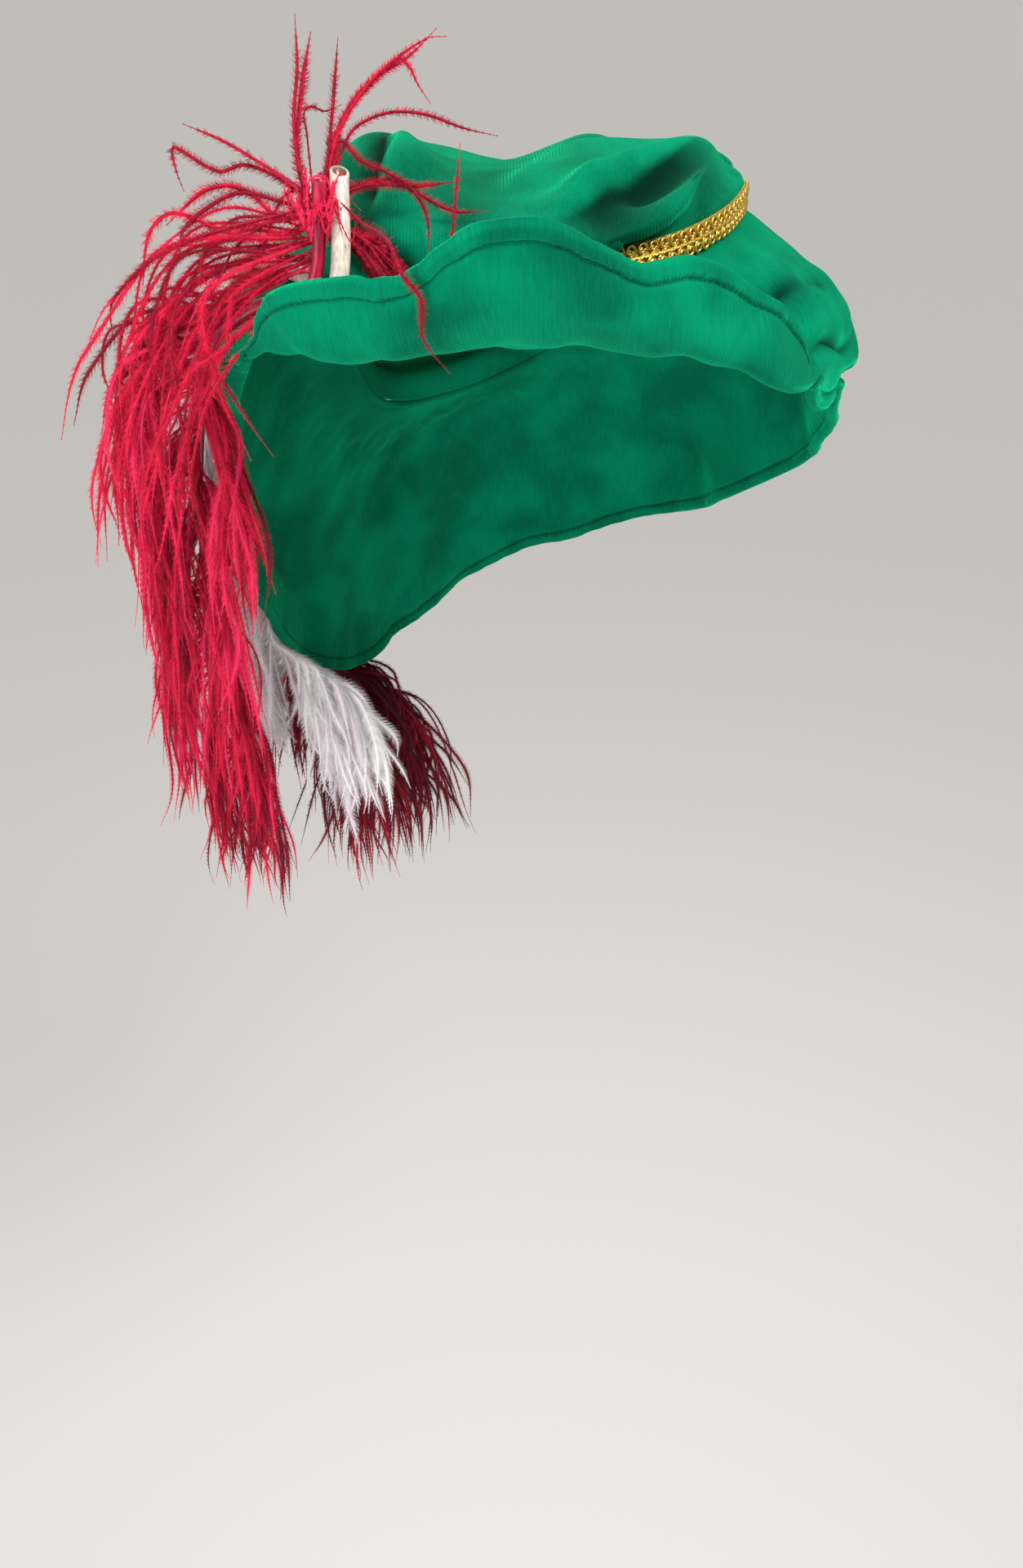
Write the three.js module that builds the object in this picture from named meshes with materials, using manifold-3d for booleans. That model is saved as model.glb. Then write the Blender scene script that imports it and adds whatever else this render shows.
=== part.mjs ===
// A floppy velvet beret with a wide soft brim, a gold braid band and three ostrich plumes.
// Millimetres, +Z up. The front faces -Y and +X is on the viewer's right.
// The origin is the middle of the head opening, at the height of the seam over the brow.

import * as THREE from 'three';
import { mergeVertices } from 'three/addons/utils/BufferGeometryUtils.js';
import Module from 'manifold-3d';

const wasm = await Module();
wasm.setup();

// Sizes of the head opening, measured at the seam.
const HEAD_WIDTH = 162;
const HEAD_LENGTH = 198;
const NAPE_DROP = 106;

// Sizes of the brim, a double layer of velvet.
const BRIM_WIDTH = 130;
const BRIM_WALL = 3;

// Sizes of the crown, a single layer gathered into the seam.
const CROWN_WALL = 1.8;
const CROWN_RISE = 22;
const CROWN_PUFF = 30;
const CROWN_FOLD = 9;
const LIP_RISE = 3.2;

// Sizes of the braid band that covers the seam.
const BRAID_HEIGHT = 11;
const BRAID_THICKNESS = 1.8;
const BRAID_SCALLOP = 0.8;

// Sizes of the plumes.
const RED_QUILL_WIDTH = 4.7;
const WHITE_QUILL_WIDTH = 6.4;
const BACK_QUILL_WIDTH = 5;
const RED_PLUME_LENGTH = 340;
const WHITE_PLUME_LENGTH = 300;
const BACK_PLUME_LENGTH = 260;
const LOCK_WIDTH = 15;
const LOCK_THICKNESS = 4.4;
const HERL_WIDTH = 3.4;

// The gap between pieces that touch.
const GAP = 0.3;
// How far a shaft is pressed into the pile of the brim.
const PILE_PRESS = 0.6;

// How finely the soft walls are divided.
const STEPS_AROUND = 64;
const BRIM_STEPS_ACROSS = 11;
const SCALLOPS_PER_STEP = 2;

const FULL_TURN = 360;

// The seam's height all round, as a share of NAPE_DROP. The angle runs from the front to the viewer's right.
const SEAM = [
  { at: 0, up: -0.2 },
  { at: 32, up: -0.165 },
  { at: 58, up: -0.115 },
  { at: 78, up: -0.085 },
  { at: 96, up: -0.13 },
  { at: 120, up: -0.33 },
  { at: 150, up: -0.62 },
  { at: 180, up: -0.88 },
  { at: 210, up: -1 },
  { at: 240, up: -0.93 },
  { at: 262, up: -0.6 },
  { at: 285, up: -0.13 },
  { at: 300, up: -0.03 },
  { at: 316, up: -0.15 },
  { at: 335, up: -0.21 },
];

// The brim's sections, as shares of BRIM_WIDTH from the seam: its knee, its belly and its edge.
const BRIM = [
  { at: 0, kneeOut: 0.26, kneeUp: -0.05, bellyOut: 0.54, bellyUp: 0.03, edgeOut: 0.68, edgeUp: 0.294, edgeRound: -0.02 },
  { at: 7, kneeOut: 0.26, kneeUp: -0.05, bellyOut: 0.51, bellyUp: 0.02, edgeOut: 0.64, edgeUp: 0.25, edgeRound: -0.09 },
  { at: 15, kneeOut: 0.25, kneeUp: -0.06, bellyOut: 0.47, bellyUp: -0.03, edgeOut: 0.55, edgeUp: 0.16, edgeRound: -0.12 },
  { at: 23, kneeOut: 0.24, kneeUp: -0.08, bellyOut: 0.42, bellyUp: -0.07, edgeOut: 0.46, edgeUp: 0.15, edgeRound: -0.13 },
  { at: 34, kneeOut: 0.23, kneeUp: -0.11, bellyOut: 0.4, bellyUp: -0.16, edgeOut: 0.39, edgeUp: 0.053, edgeRound: -0.14 },
  { at: 45, kneeOut: 0.22, kneeUp: -0.13, bellyOut: 0.38, bellyUp: -0.27, edgeOut: 0.36, edgeUp: -0.1, edgeRound: -0.1 },
  { at: 57, kneeOut: 0.26, kneeUp: -0.1, bellyOut: 0.34, bellyUp: -0.29, edgeOut: 0.33, edgeUp: -0.4, edgeRound: -0.08 },
  { at: 72, kneeOut: 0.27, kneeUp: -0.16, bellyOut: 0.38, bellyUp: -0.38, edgeOut: 0.36, edgeUp: -0.445, edgeRound: 0.02 },
  { at: 90, kneeOut: 0.25, kneeUp: -0.21, bellyOut: 0.39, bellyUp: -0.46, edgeOut: 0.39, edgeUp: -0.65, edgeRound: 0 },
  { at: 108, kneeOut: 0.24, kneeUp: -0.19, bellyOut: 0.38, bellyUp: -0.47, edgeOut: 0.41, edgeUp: -0.79, edgeRound: -0.02 },
  { at: 128, kneeOut: 0.24, kneeUp: -0.2, bellyOut: 0.37, bellyUp: -0.55, edgeOut: 0.36, edgeUp: -0.93, edgeRound: 0.06 },
  { at: 153, kneeOut: 0.22, kneeUp: -0.2, bellyOut: 0.33, bellyUp: -0.56, edgeOut: 0.38, edgeUp: -0.93, edgeRound: 0.05 },
  { at: 178, kneeOut: 0.22, kneeUp: -0.2, bellyOut: 0.35, bellyUp: -0.54, edgeOut: 0.39, edgeUp: -0.9, edgeRound: 0 },
  { at: 203, kneeOut: 0.2, kneeUp: -0.2, bellyOut: 0.28, bellyUp: -0.6, edgeOut: 0.33, edgeUp: -0.99, edgeRound: -0.06 },
  { at: 225, kneeOut: 0.17, kneeUp: -0.22, bellyOut: 0.22, bellyUp: -0.62, edgeOut: 0.21, edgeUp: -1.06, edgeRound: -0.03 },
  { at: 243, kneeOut: 0.16, kneeUp: -0.26, bellyOut: 0.21, bellyUp: -0.7, edgeOut: 0.15, edgeUp: -1.1, edgeRound: 0.02 },
  { at: 257, kneeOut: 0.18, kneeUp: -0.24, bellyOut: 0.28, bellyUp: -0.68, edgeOut: 0.23, edgeUp: -1.12, edgeRound: 0.06 },
  { at: 270, kneeOut: 0.2, kneeUp: -0.2, bellyOut: 0.33, bellyUp: -0.6, edgeOut: 0.32, edgeUp: -1, edgeRound: 0.09 },
  { at: 283, kneeOut: 0.22, kneeUp: -0.17, bellyOut: 0.36, bellyUp: -0.5, edgeOut: 0.36, edgeUp: -0.86, edgeRound: 0.13 },
  { at: 298, kneeOut: 0.24, kneeUp: -0.11, bellyOut: 0.4, bellyUp: -0.34, edgeOut: 0.39, edgeUp: -0.6, edgeRound: 0.11 },
  { at: 312, kneeOut: 0.25, kneeUp: -0.06, bellyOut: 0.45, bellyUp: -0.2, edgeOut: 0.44, edgeUp: -0.24, edgeRound: 0.11 },
  { at: 325, kneeOut: 0.25, kneeUp: -0.03, bellyOut: 0.48, bellyUp: -0.09, edgeOut: 0.53, edgeUp: 0.05, edgeRound: 0.08 },
  { at: 336, kneeOut: 0.26, kneeUp: -0.03, bellyOut: 0.52, bellyUp: -0.04, edgeOut: 0.62, edgeUp: 0.155, edgeRound: 0.12 },
  { at: 345, kneeOut: 0.26, kneeUp: -0.03, bellyOut: 0.54, bellyUp: -0.01, edgeOut: 0.67, edgeUp: 0.18, edgeRound: 0.08 },
  { at: 353, kneeOut: 0.26, kneeUp: -0.04, bellyOut: 0.55, bellyUp: 0.03, edgeOut: 0.69, edgeUp: 0.26, edgeRound: 0 },
];

// Folds of the brim: where they lie, how far they reach round the hat and across the brim, and how far they push
// the brim out and up, as shares of its width.
const BRIM_FOLDS = [
  { at: 84, share: 0.84, turn: 13, reach: 0.1, out: -0.14, up: 0.03 },
  { at: 66, share: 0.5, turn: 6, reach: 0.16, out: 0, up: -0.035 },
  { at: 78, share: 0.52, turn: 6, reach: 0.16, out: 0, up: 0.03 },
  { at: 122, share: 1, turn: 10, reach: 0.45, out: -0.05, up: 0 },
  { at: 146, share: 1, turn: 11, reach: 0.45, out: 0.06, up: 0 },
  { at: 170, share: 1, turn: 10, reach: 0.4, out: -0.05, up: 0 },
  { at: 196, share: 1, turn: 12, reach: 0.45, out: 0.05, up: 0 },
  { at: 286, share: 0.75, turn: 7, reach: 0.3, out: -0.03, up: 0 },
];

// The crown's meridians: how far the shoulder stands out, as a share of CROWN_PUFF, and, as shares of
// CROWN_RISE, the height of the shoulder over the braid and the heights of the crest and the middle.
const CROWN = [
  { at: 0, shoulderOut: 0.4, shoulderUp: -0.3, crestUp: 0.42, middleUp: 0.45 },
  { at: 25, shoulderOut: 0.2, shoulderUp: 0.1, crestUp: 0.4, middleUp: 0.5 },
  { at: 45, shoulderOut: -0.05, shoulderUp: 0.5, crestUp: 0.6, middleUp: 0.55 },
  { at: 68, shoulderOut: -0.38, shoulderUp: 0.45, crestUp: 0.72, middleUp: 0.6 },
  { at: 90, shoulderOut: -0.28, shoulderUp: 0.3, crestUp: 0.55, middleUp: 0.5 },
  { at: 120, shoulderOut: 0.4, shoulderUp: 0.5, crestUp: 0.35, middleUp: 0.45 },
  { at: 150, shoulderOut: 0.8, shoulderUp: 1, crestUp: 0.1, middleUp: 0.35 },
  { at: 180, shoulderOut: 1, shoulderUp: 1.2, crestUp: -0.1, middleUp: 0.3 },
  { at: 210, shoulderOut: 1, shoulderUp: 1.4, crestUp: -0.1, middleUp: 0.3 },
  { at: 240, shoulderOut: 0.6, shoulderUp: 1.4, crestUp: 0.1, middleUp: 0.4 },
  { at: 270, shoulderOut: 0.02, shoulderUp: 0.8, crestUp: 0.6, middleUp: 0.5 },
  { at: 298, shoulderOut: -0.08, shoulderUp: 0.4, crestUp: 0.92, middleUp: 0.55 },
  { at: 316, shoulderOut: 0.25, shoulderUp: -0.25, crestUp: 0.75, middleUp: 0.5 },
  { at: 338, shoulderOut: 0.42, shoulderUp: -0.35, crestUp: 0.45, middleUp: 0.45 },
];
const CROWN_MIDDLE_UP = 0.45;

// Folds of the crown. Their ends are shares of the half width and half length of the head opening, the lift is
// a share of CROWN_FOLD and the two spreads, left and right of the line, are shares of the head's width.
const CROWN_FOLDS = [
  { fromX: 0.7, fromY: -0.28, toX: 0.1, toY: -0.88, lift: 0.7, left: 0.1, right: 0.035 },
  { fromX: 0.76, fromY: -0.42, toX: 0.38, toY: -0.85, lift: -0.9, left: 0.04, right: 0.09 },
  { fromX: -0.78, fromY: -0.2, toX: -0.66, toY: -0.75, lift: -0.9, left: 0.05, right: 0.035 },
  { fromX: -0.62, fromY: -0.2, toX: -0.5, toY: -0.6, lift: 0.35, left: 0.05, right: 0.12 },
  { fromX: -0.2, fromY: -0.85, toX: -0.12, toY: 0.7, lift: -0.45, left: 0.13, right: 0.1 },
  { fromX: 0.22, fromY: -0.55, toX: 0.3, toY: 0.75, lift: 0.4, left: 0.08, right: 0.12 },
  { fromX: -0.75, fromY: 0.1, toX: -0.4, toY: 0.95, lift: 0.6, left: 0.1, right: 0.1 },
  { fromX: 0.05, fromY: 0.35, toX: 0.02, toY: 1.15, lift: -0.6, left: 0.08, right: 0.08 },
  { fromX: 0.55, fromY: 0.2, toX: 0.75, toY: 0.8, lift: -0.5, left: 0.08, right: 0.1 },
];

const RADIANS = Math.PI / 180;

// A smooth curve through a table's column, with uneven steps; periodic when a period is given.
function smooth(keys, values, key, period = 0) {
  const n = keys.length;
  const value = (i) => values[(i % n + n) % n];
  const place = (i) => keys[(i % n + n) % n] + period * Math.floor(i / n);
  const held = (i) => (period ? i : Math.min(Math.max(i, 0), n - 1));
  let i = 0;
  const last = period ? n : n - 1;
  while (i < last - 1 && place(i + 1) <= key) {
    i += 1;
  }
  const slope = (j) => {
    const before = held(j - 1);
    const after = held(j + 1);
    return (value(after) - value(before)) / (place(after) - place(before));
  };
  const span = place(i + 1) - place(i);
  const u = Math.min(Math.max((key - place(i)) / span, 0), 1);
  const rise = u * u * (3 - 2 * u);
  return (
    value(i) * (1 - rise) + value(i + 1) * rise
    + span * (slope(i) * u * (1 - u) * (1 - u) - slope(i + 1) * u * u * (1 - u))
  );
}

// A column of a table that runs all round the hat, read at an angle.
function round(table, column, angle) {
  const turned = (angle % FULL_TURN + FULL_TURN) % FULL_TURN;
  return smooth(table.map((row) => row.at), table.map((row) => row[column]), turned, FULL_TURN);
}

// The seam between crown and brim: its place, and the directions out of and round the head opening.
function seam(angle) {
  const turn = angle * RADIANS;
  const out = new THREE.Vector3(Math.sin(turn) / HEAD_WIDTH, -Math.cos(turn) / HEAD_LENGTH, 0).normalize();
  return {
    place: new THREE.Vector3(
      Math.sin(turn) * HEAD_WIDTH / 2,
      -Math.cos(turn) * HEAD_LENGTH / 2,
      round(SEAM, 'up', angle) * NAPE_DROP,
    ),
    out,
    along: new THREE.Vector3(-out.y, out.x, 0),
  };
}

function offset(frame, out, along, up) {
  return frame.place.clone()
    .addScaledVector(frame.out, out)
    .addScaledVector(frame.along, along)
    .add(new THREE.Vector3(0, 0, up));
}

// The middle surface of the brim at an angle and a share of its width.
const BRIM_STATIONS = [0, 0.06, 0.34, 0.68, 1];
const BRIM_FLAT = BRAID_THICKNESS + 3 * GAP;
function brimPoint(angle, share) {
  const frame = seam(angle);
  const row = (column) => round(BRIM, column, angle) * BRIM_WIDTH;
  const drop = -BRIM_WALL / 2;
  const slide = row('edgeRound');
  const out = [-CROWN_WALL, BRIM_FLAT, row('kneeOut'), row('bellyOut'), row('edgeOut')];
  const up = [drop, drop, drop + row('kneeUp'), drop + row('bellyUp'), drop + row('edgeUp')];
  const along = [0, 0, slide * 0.3, slide * 0.65, slide];
  const fold = brimFolds(angle, share);
  return offset(
    frame,
    smooth(BRIM_STATIONS, out, share) + fold.out,
    smooth(BRIM_STATIONS, along, share),
    smooth(BRIM_STATIONS, up, share) + fold.up,
  );
}

// How far the folds push the brim out and up, at an angle and a share of its width.
function brimFolds(angle, share) {
  const pushed = { out: 0, up: 0 };
  for (const fold of BRIM_FOLDS) {
    const turned = (angle - fold.at + 1.5 * FULL_TURN) % FULL_TURN - FULL_TURN / 2;
    const near = Math.exp(-((turned / fold.turn) ** 2) - ((share - fold.share) / fold.reach) ** 2);
    const free = THREE.MathUtils.smoothstep(share, BRIM_STATIONS[1], BRIM_STATIONS[2]);
    pushed.out += fold.out * BRIM_WIDTH * near * free;
    pushed.up += fold.up * BRIM_WIDTH * near * free;
  }
  return pushed;
}

// The brim's surface turned to a unit normal that points to its upper side.
function brimNormal(angle, share) {
  const step = 0.5;
  const reach = 0.01;
  const inner = Math.max(share - reach, 0);
  const outer = Math.min(share + reach, 1);
  const across = brimPoint(angle, outer).sub(brimPoint(angle, inner));
  const along = brimPoint(angle + step, share).sub(brimPoint(angle - step, share));
  if (share <= BRIM_STATIONS[1]) {
    return new THREE.Vector3(0, 0, 1);
  }
  return across.cross(along).normalize();
}

// The outer surface of the crown at an angle and a share of the way from the seam to its middle. It stands up
// behind the braid, leans out over it in a lip, folds at the shoulder, and swells up to the crest.
const CROWN_STATIONS = [0, 0.1, 0.17, 0.27, 0.4, 0.58, 0.8, 1];
const CROWN_SCALES = [1, 1, 1, 1, 1, 0.76, 0.4, 0];
const CROWN_RINGS = [0, 0.1, 0.17, 0.27, 0.33, 0.4, 0.49, 0.58, 0.69, 0.84];
function crownPoint(angle, share) {
  const frame = seam(angle);
  const row = (column) => round(CROWN, column, angle);
  const base = frame.place.z + GAP;
  const band = base + BRAID_HEIGHT;
  const reach = row('shoulderOut') * CROWN_PUFF;
  const out = [0, 0, reach * 0.3, reach, reach * 1.1, 0, 0, 0];
  const shoulder = band + row('shoulderUp') * CROWN_RISE;
  const crest = row('crestUp') * CROWN_RISE;
  const up = [
    base,
    band,
    band + LIP_RISE,
    shoulder,
    (shoulder + crest) / 2,
    crest,
    row('middleUp') * CROWN_RISE,
    CROWN_MIDDLE_UP * CROWN_RISE,
  ];
  const scale = smooth(CROWN_STATIONS, CROWN_SCALES, share);
  const push = smooth(CROWN_STATIONS, out, share);
  const point = frame.place.clone().multiplyScalar(scale).addScaledVector(frame.out, push);
  const free = THREE.MathUtils.smoothstep(share, CROWN_STATIONS[3], CROWN_STATIONS[4]);
  point.z = smooth(CROWN_STATIONS, up, share) + crownFolds(point) * free;
  return point;
}

// How far the folds lift the crown over a place in plan.
function crownFolds(point) {
  const x = point.x / (HEAD_WIDTH / 2);
  const y = point.y / (HEAD_LENGTH / 2);
  let lift = 0;
  for (const fold of CROWN_FOLDS) {
    const runX = fold.toX - fold.fromX;
    const runY = fold.toY - fold.fromY;
    const length = Math.hypot(runX, runY);
    const along = ((x - fold.fromX) * runX + (y - fold.fromY) * runY) / (length * length);
    const aside = ((x - fold.fromX) * runY - (y - fold.fromY) * runX) / length / 2;
    const spread = aside < 0 ? fold.left : fold.right;
    const ends = THREE.MathUtils.smoothstep(along, -0.25, 0.2) * (1 - THREE.MathUtils.smoothstep(along, 0.7, 1.2));
    lift += fold.lift * CROWN_FOLD * Math.exp(-((aside / spread) ** 2)) * ends;
  }
  return lift;
}

// The crown's outward unit normal.
function crownNormal(angle, share) {
  const reach = 0.01;
  const step = 1;
  const frame = seam(angle);
  if (share < CROWN_STATIONS[1] + reach) {
    return frame.out.clone();
  }
  if (share > 1 - 2 * reach) {
    return new THREE.Vector3(0, 0, 1);
  }
  const rise = crownPoint(angle, share + reach).sub(crownPoint(angle, share - reach));
  const along = crownPoint(angle + step, share).sub(crownPoint(angle - step, share));
  return along.cross(rise).normalize();
}

// A geometry from points and the faces between them.
function geometry(points, faces) {
  const made = new THREE.BufferGeometry();
  made.setAttribute('position', new THREE.Float32BufferAttribute(points.flatMap((p) => [p.x, p.y, p.z]), 3));
  made.setIndex(faces.flat());
  return made;
}

// A closed body from closed sections that follow each other all the way round.
function hoop(sections) {
  const points = sections.flat();
  const size = sections[0].length;
  const faces = [];
  for (let i = 0; i < sections.length; i += 1) {
    const here = i * size;
    const next = ((i + 1) % sections.length) * size;
    for (let j = 0; j < size; j += 1) {
      const k = (j + 1) % size;
      faces.push([here + j, next + j, next + k], [here + j, next + k, here + k]);
    }
  }
  return geometry(points, faces);
}

// The brim's wall, made thicker by a margin on each face where it serves as a cutter.
function brimGeometry(margin) {
  const half = BRIM_WALL / 2 + margin;
  const sections = [];
  for (let i = 0; i < STEPS_AROUND; i += 1) {
    const angle = i * FULL_TURN / STEPS_AROUND;
    const upper = [];
    const lower = [];
    for (let j = 0; j <= BRIM_STEPS_ACROSS; j += 1) {
      const share = j < 1 ? 0 : BRIM_STATIONS[1] + (1 - BRIM_STATIONS[1]) * (j - 1) / (BRIM_STEPS_ACROSS - 1);
      const middle = brimPoint(angle, share);
      const normal = brimNormal(angle, share);
      upper.push(middle.clone().addScaledVector(normal, half));
      lower.push(middle.clone().addScaledVector(normal, -half));
    }
    sections.push([...lower, ...upper.reverse()]);
  }
  return hoop(sections);
}

// The crown's wall: an outer and an inner skin that meet in a rim at the seam.
function crownGeometry() {
  const points = [];
  const faces = [];
  const rings = CROWN_RINGS.length;
  const around = STEPS_AROUND;
  for (const depth of [0, CROWN_WALL]) {
    for (let j = 0; j < rings; j += 1) {
      const share = CROWN_RINGS[j];
      for (let i = 0; i < around; i += 1) {
        const angle = i * FULL_TURN / around;
        points.push(crownPoint(angle, share).addScaledVector(crownNormal(angle, share), -depth));
      }
    }
    points.push(crownPoint(0, 1).add(new THREE.Vector3(0, 0, -depth)));
  }
  const skin = rings * around + 1;
  for (let i = 0; i < around; i += 1) {
    const next = (i + 1) % around;
    for (let j = 0; j < rings - 1; j += 1) {
      const low = j * around;
      const high = low + around;
      faces.push([low + i, low + next, high + next], [low + i, high + next, high + i]);
      faces.push([skin + low + i, skin + high + next, skin + low + next]);
      faces.push([skin + low + i, skin + high + i, skin + high + next]);
    }
    const top = (rings - 1) * around;
    faces.push([top + i, top + next, skin - 1]);
    faces.push([skin + top + i, 2 * skin - 1, skin + top + next]);
    faces.push([i, skin + i, skin + next], [i, skin + next, next]);
  }
  return geometry(points, faces);
}

// The braid band: it stands on the brim round the foot of the crown, with a scalloped top and foot.
function braidGeometry(margin) {
  const sections = [];
  const steps = SCALLOPS_PER_STEP * STEPS_AROUND;
  for (let i = 0; i < steps; i += 1) {
    const frame = seam(i * FULL_TURN / steps);
    const scallop = (i % 2) * BRAID_SCALLOP;
    const inner = GAP - margin;
    const outer = GAP + BRAID_THICKNESS + margin;
    const foot = GAP + scallop - margin;
    const top = GAP + BRAID_HEIGHT - scallop + margin;
    sections.push([
      offset(frame, inner, 0, foot),
      offset(frame, outer, 0, foot),
      offset(frame, outer, 0, top),
      offset(frame, inner, 0, top),
    ]);
  }
  return hoop(sections);
}

// A solid for cutting and joining.
function solid(made) {
  const bare = made.clone();
  bare.deleteAttribute('normal');
  bare.deleteAttribute('uv');
  const merged = mergeVertices(bare, 1e-4);
  return new wasm.Manifold(new wasm.Mesh({
    numProp: 3,
    vertProperties: new Float32Array(merged.attributes.position.array),
    triVerts: new Uint32Array(merged.index.array),
  }));
}

function fromSolid(body) {
  const mesh = body.getMesh();
  const made = new THREE.BufferGeometry();
  made.setAttribute('position', new THREE.BufferAttribute(new Float32Array(mesh.vertProperties), 3));
  made.setIndex(new THREE.BufferAttribute(new Uint32Array(mesh.triVerts), 1));
  return made;
}

// A tapering body along a route of points, with a section of so many sides, wide across and thin deep.
function taper(route, steps, sides, widthAt, thicknessAt) {
  const curve = new THREE.CatmullRomCurve3(route, false, 'centripetal');
  const points = [];
  const faces = [];
  const flat = new THREE.Vector3(0, 1, 0);
  for (let i = 0; i <= steps; i += 1) {
    const share = i / steps;
    const middle = curve.getPointAt(share);
    const ahead = curve.getTangentAt(share);
    const across = new THREE.Vector3().crossVectors(ahead, flat).normalize();
    const deep = new THREE.Vector3().crossVectors(across, ahead).normalize();
    for (let j = 0; j < sides; j += 1) {
      const turn = 2 * Math.PI * j / sides;
      points.push(middle.clone()
        .addScaledVector(across, Math.cos(turn) * widthAt(share) / 2)
        .addScaledVector(deep, Math.sin(turn) * thicknessAt(share) / 2));
    }
  }
  const first = points.push(curve.getPointAt(0)) - 1;
  const last = points.push(curve.getPointAt(1)) - 1;
  for (let j = 0; j < sides; j += 1) {
    const k = (j + 1) % sides;
    faces.push([first, j, k]);
    faces.push([last, steps * sides + k, steps * sides + j]);
    for (let i = 0; i < steps; i += 1) {
      const here = i * sides;
      const next = here + sides;
      faces.push([here + j, next + k, here + k], [here + j, next + j, next + k]);
    }
  }
  return geometry(points, faces);
}

// A place over the upper face of the brim, at an angle, a share of its width and a height over the pile.
function overBrim(row) {
  const lift = BRIM_WALL / 2 + row.over;
  return brimPoint(row.at, row.share).addScaledVector(brimNormal(row.at, row.share), lift);
}

// The route of a plume's shaft: the cut end of the quill, then over the brim, then hanging free.
function shaftRoute(plume) {
  const seated = plume.over.map((row) => overBrim({
    at: row.at,
    share: row.share,
    over: row.over * plume.quill + plume.quill / 2 - PILE_PRESS,
  }));
  const foot = seated[0].clone().add(new THREE.Vector3(...plume.stub).multiplyScalar(plume.length));
  const end = seated[seated.length - 1];
  const hanging = plume.hang.map((row) => end.clone().add(
    new THREE.Vector3(row.x, row.y, row.z).multiplyScalar(plume.length),
  ));
  return [foot, ...seated, ...hanging];
}

// A plume: its shaft with its locks fused on. The margin makes it fatter where it serves as a cutter.
function plumeSolid(plume, margin) {
  const route = shaftRoute(plume);
  const shaft = new THREE.CatmullRomCurve3(route, false, 'centripetal');
  const shaftWidth = (share) => (
    (plume.quill + 2 * margin) * (1 - 0.75 * THREE.MathUtils.smoothstep(share, 0.25, 1))
  );
  let body = solid(taper(route, plume.steps, 8, shaftWidth, shaftWidth));
  for (const lock of plume.locks) {
    const root = shaft.getPointAt(lock.from);
    const tip = new THREE.Vector3(lock.x, lock.y, lock.z).multiplyScalar(plume.length).add(root);
    const bend = new THREE.Vector3(lock.x * 0.62, lock.y * 0.6, lock.z * 0.22 + 0.02)
      .multiplyScalar(plume.length)
      .add(root);
    const low = bend.clone().lerp(tip, 0.55);
    low.x += (tip.x - root.x) * 0.12;
    const wide = (lock.herl ? HERL_WIDTH : LOCK_WIDTH * (lock.wide ?? 1)) + 2 * margin;
    const deep = (lock.herl ? HERL_WIDTH : LOCK_THICKNESS) + 2 * margin;
    const swell = (share) => 0.3 + 0.7 * Math.sin(Math.PI * Math.min(0.18 + share * 0.8, 1));
    const sides = lock.herl ? 3 : 4;
    const strip = taper(
      [root, bend, low, tip],
      lock.herl ? 6 : 5,
      sides,
      (share) => wide * swell(share),
      (share) => deep * swell(share),
    );
    body = body.add(solid(strip));
  }
  return body;
}

// The red plume at the front: a curtain of barbs to the left and a spray of long herls at the quill's end.
const RED_PLUME = {
  quill: RED_QUILL_WIDTH,
  length: RED_PLUME_LENGTH,
  steps: 18,
  stub: [0.015, 0.01, 0.1],
  over: [
    { at: 319, share: 0.35, over: 0.1 },
    { at: 312, share: 0.48, over: 0 },
    { at: 305, share: 0.68, over: 0 },
  ],
  hang: [
    { x: -0.053, y: 0.09, z: -0.16 },
    { x: -0.076, y: 0.15, z: -0.32 },
    { x: -0.1, y: 0.21, z: -0.53 },
    { x: -0.1, y: 0.235, z: -0.67 },
  ],
  locks: [
    { from: 0.06, x: -0.19, y: -0.02, z: -0.2 },
    { from: 0.08, x: -0.15, y: -0.06, z: -0.28 },
    { from: 0.2, x: -0.13, y: 0.02, z: -0.12 },
    { from: 0.24, x: -0.12, y: 0, z: -0.2 },
    { from: 0.28, x: -0.1, y: 0.01, z: -0.27 },
    { from: 0.32, x: 0.04, y: -0.06, z: -0.24, wide: 0.7 },
    { from: 0.36, x: -0.05, y: -0.02, z: -0.3 },
    { from: 0.42, x: -0.08, y: 0.02, z: -0.28 },
    { from: 0.46, x: 0.03, y: -0.06, z: -0.28 },
    { from: 0.52, x: -0.05, y: -0.01, z: -0.3 },
    { from: 0.58, x: 0.01, y: -0.05, z: -0.32 },
    { from: 0.64, x: -0.08, y: 0.02, z: -0.26 },
    { from: 0.7, x: 0.04, y: -0.04, z: -0.28 },
    { from: 0.76, x: -0.06, y: 0.01, z: -0.25 },
    { from: 0.82, x: 0.05, y: -0.02, z: -0.26 },
    { from: 0.88, x: -0.02, y: 0.01, z: -0.25 },
    { from: 0.94, x: 0.06, y: 0.01, z: -0.24 },
    { from: 0.98, x: 0.01, y: 0.02, z: -0.2 },
    { from: 0.03, x: -0.02, y: 0.01, z: 0.17, herl: true },
    { from: 0.035, x: 0.115, y: 0.06, z: 0.15, herl: true },
    { from: 0.035, x: 0.16, y: 0.1, z: 0.08, herl: true },
    { from: 0.04, x: -0.14, y: 0, z: 0.05, herl: true },
    { from: 0.045, x: -0.16, y: 0, z: -0.065, herl: true },
  ],
};

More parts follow.
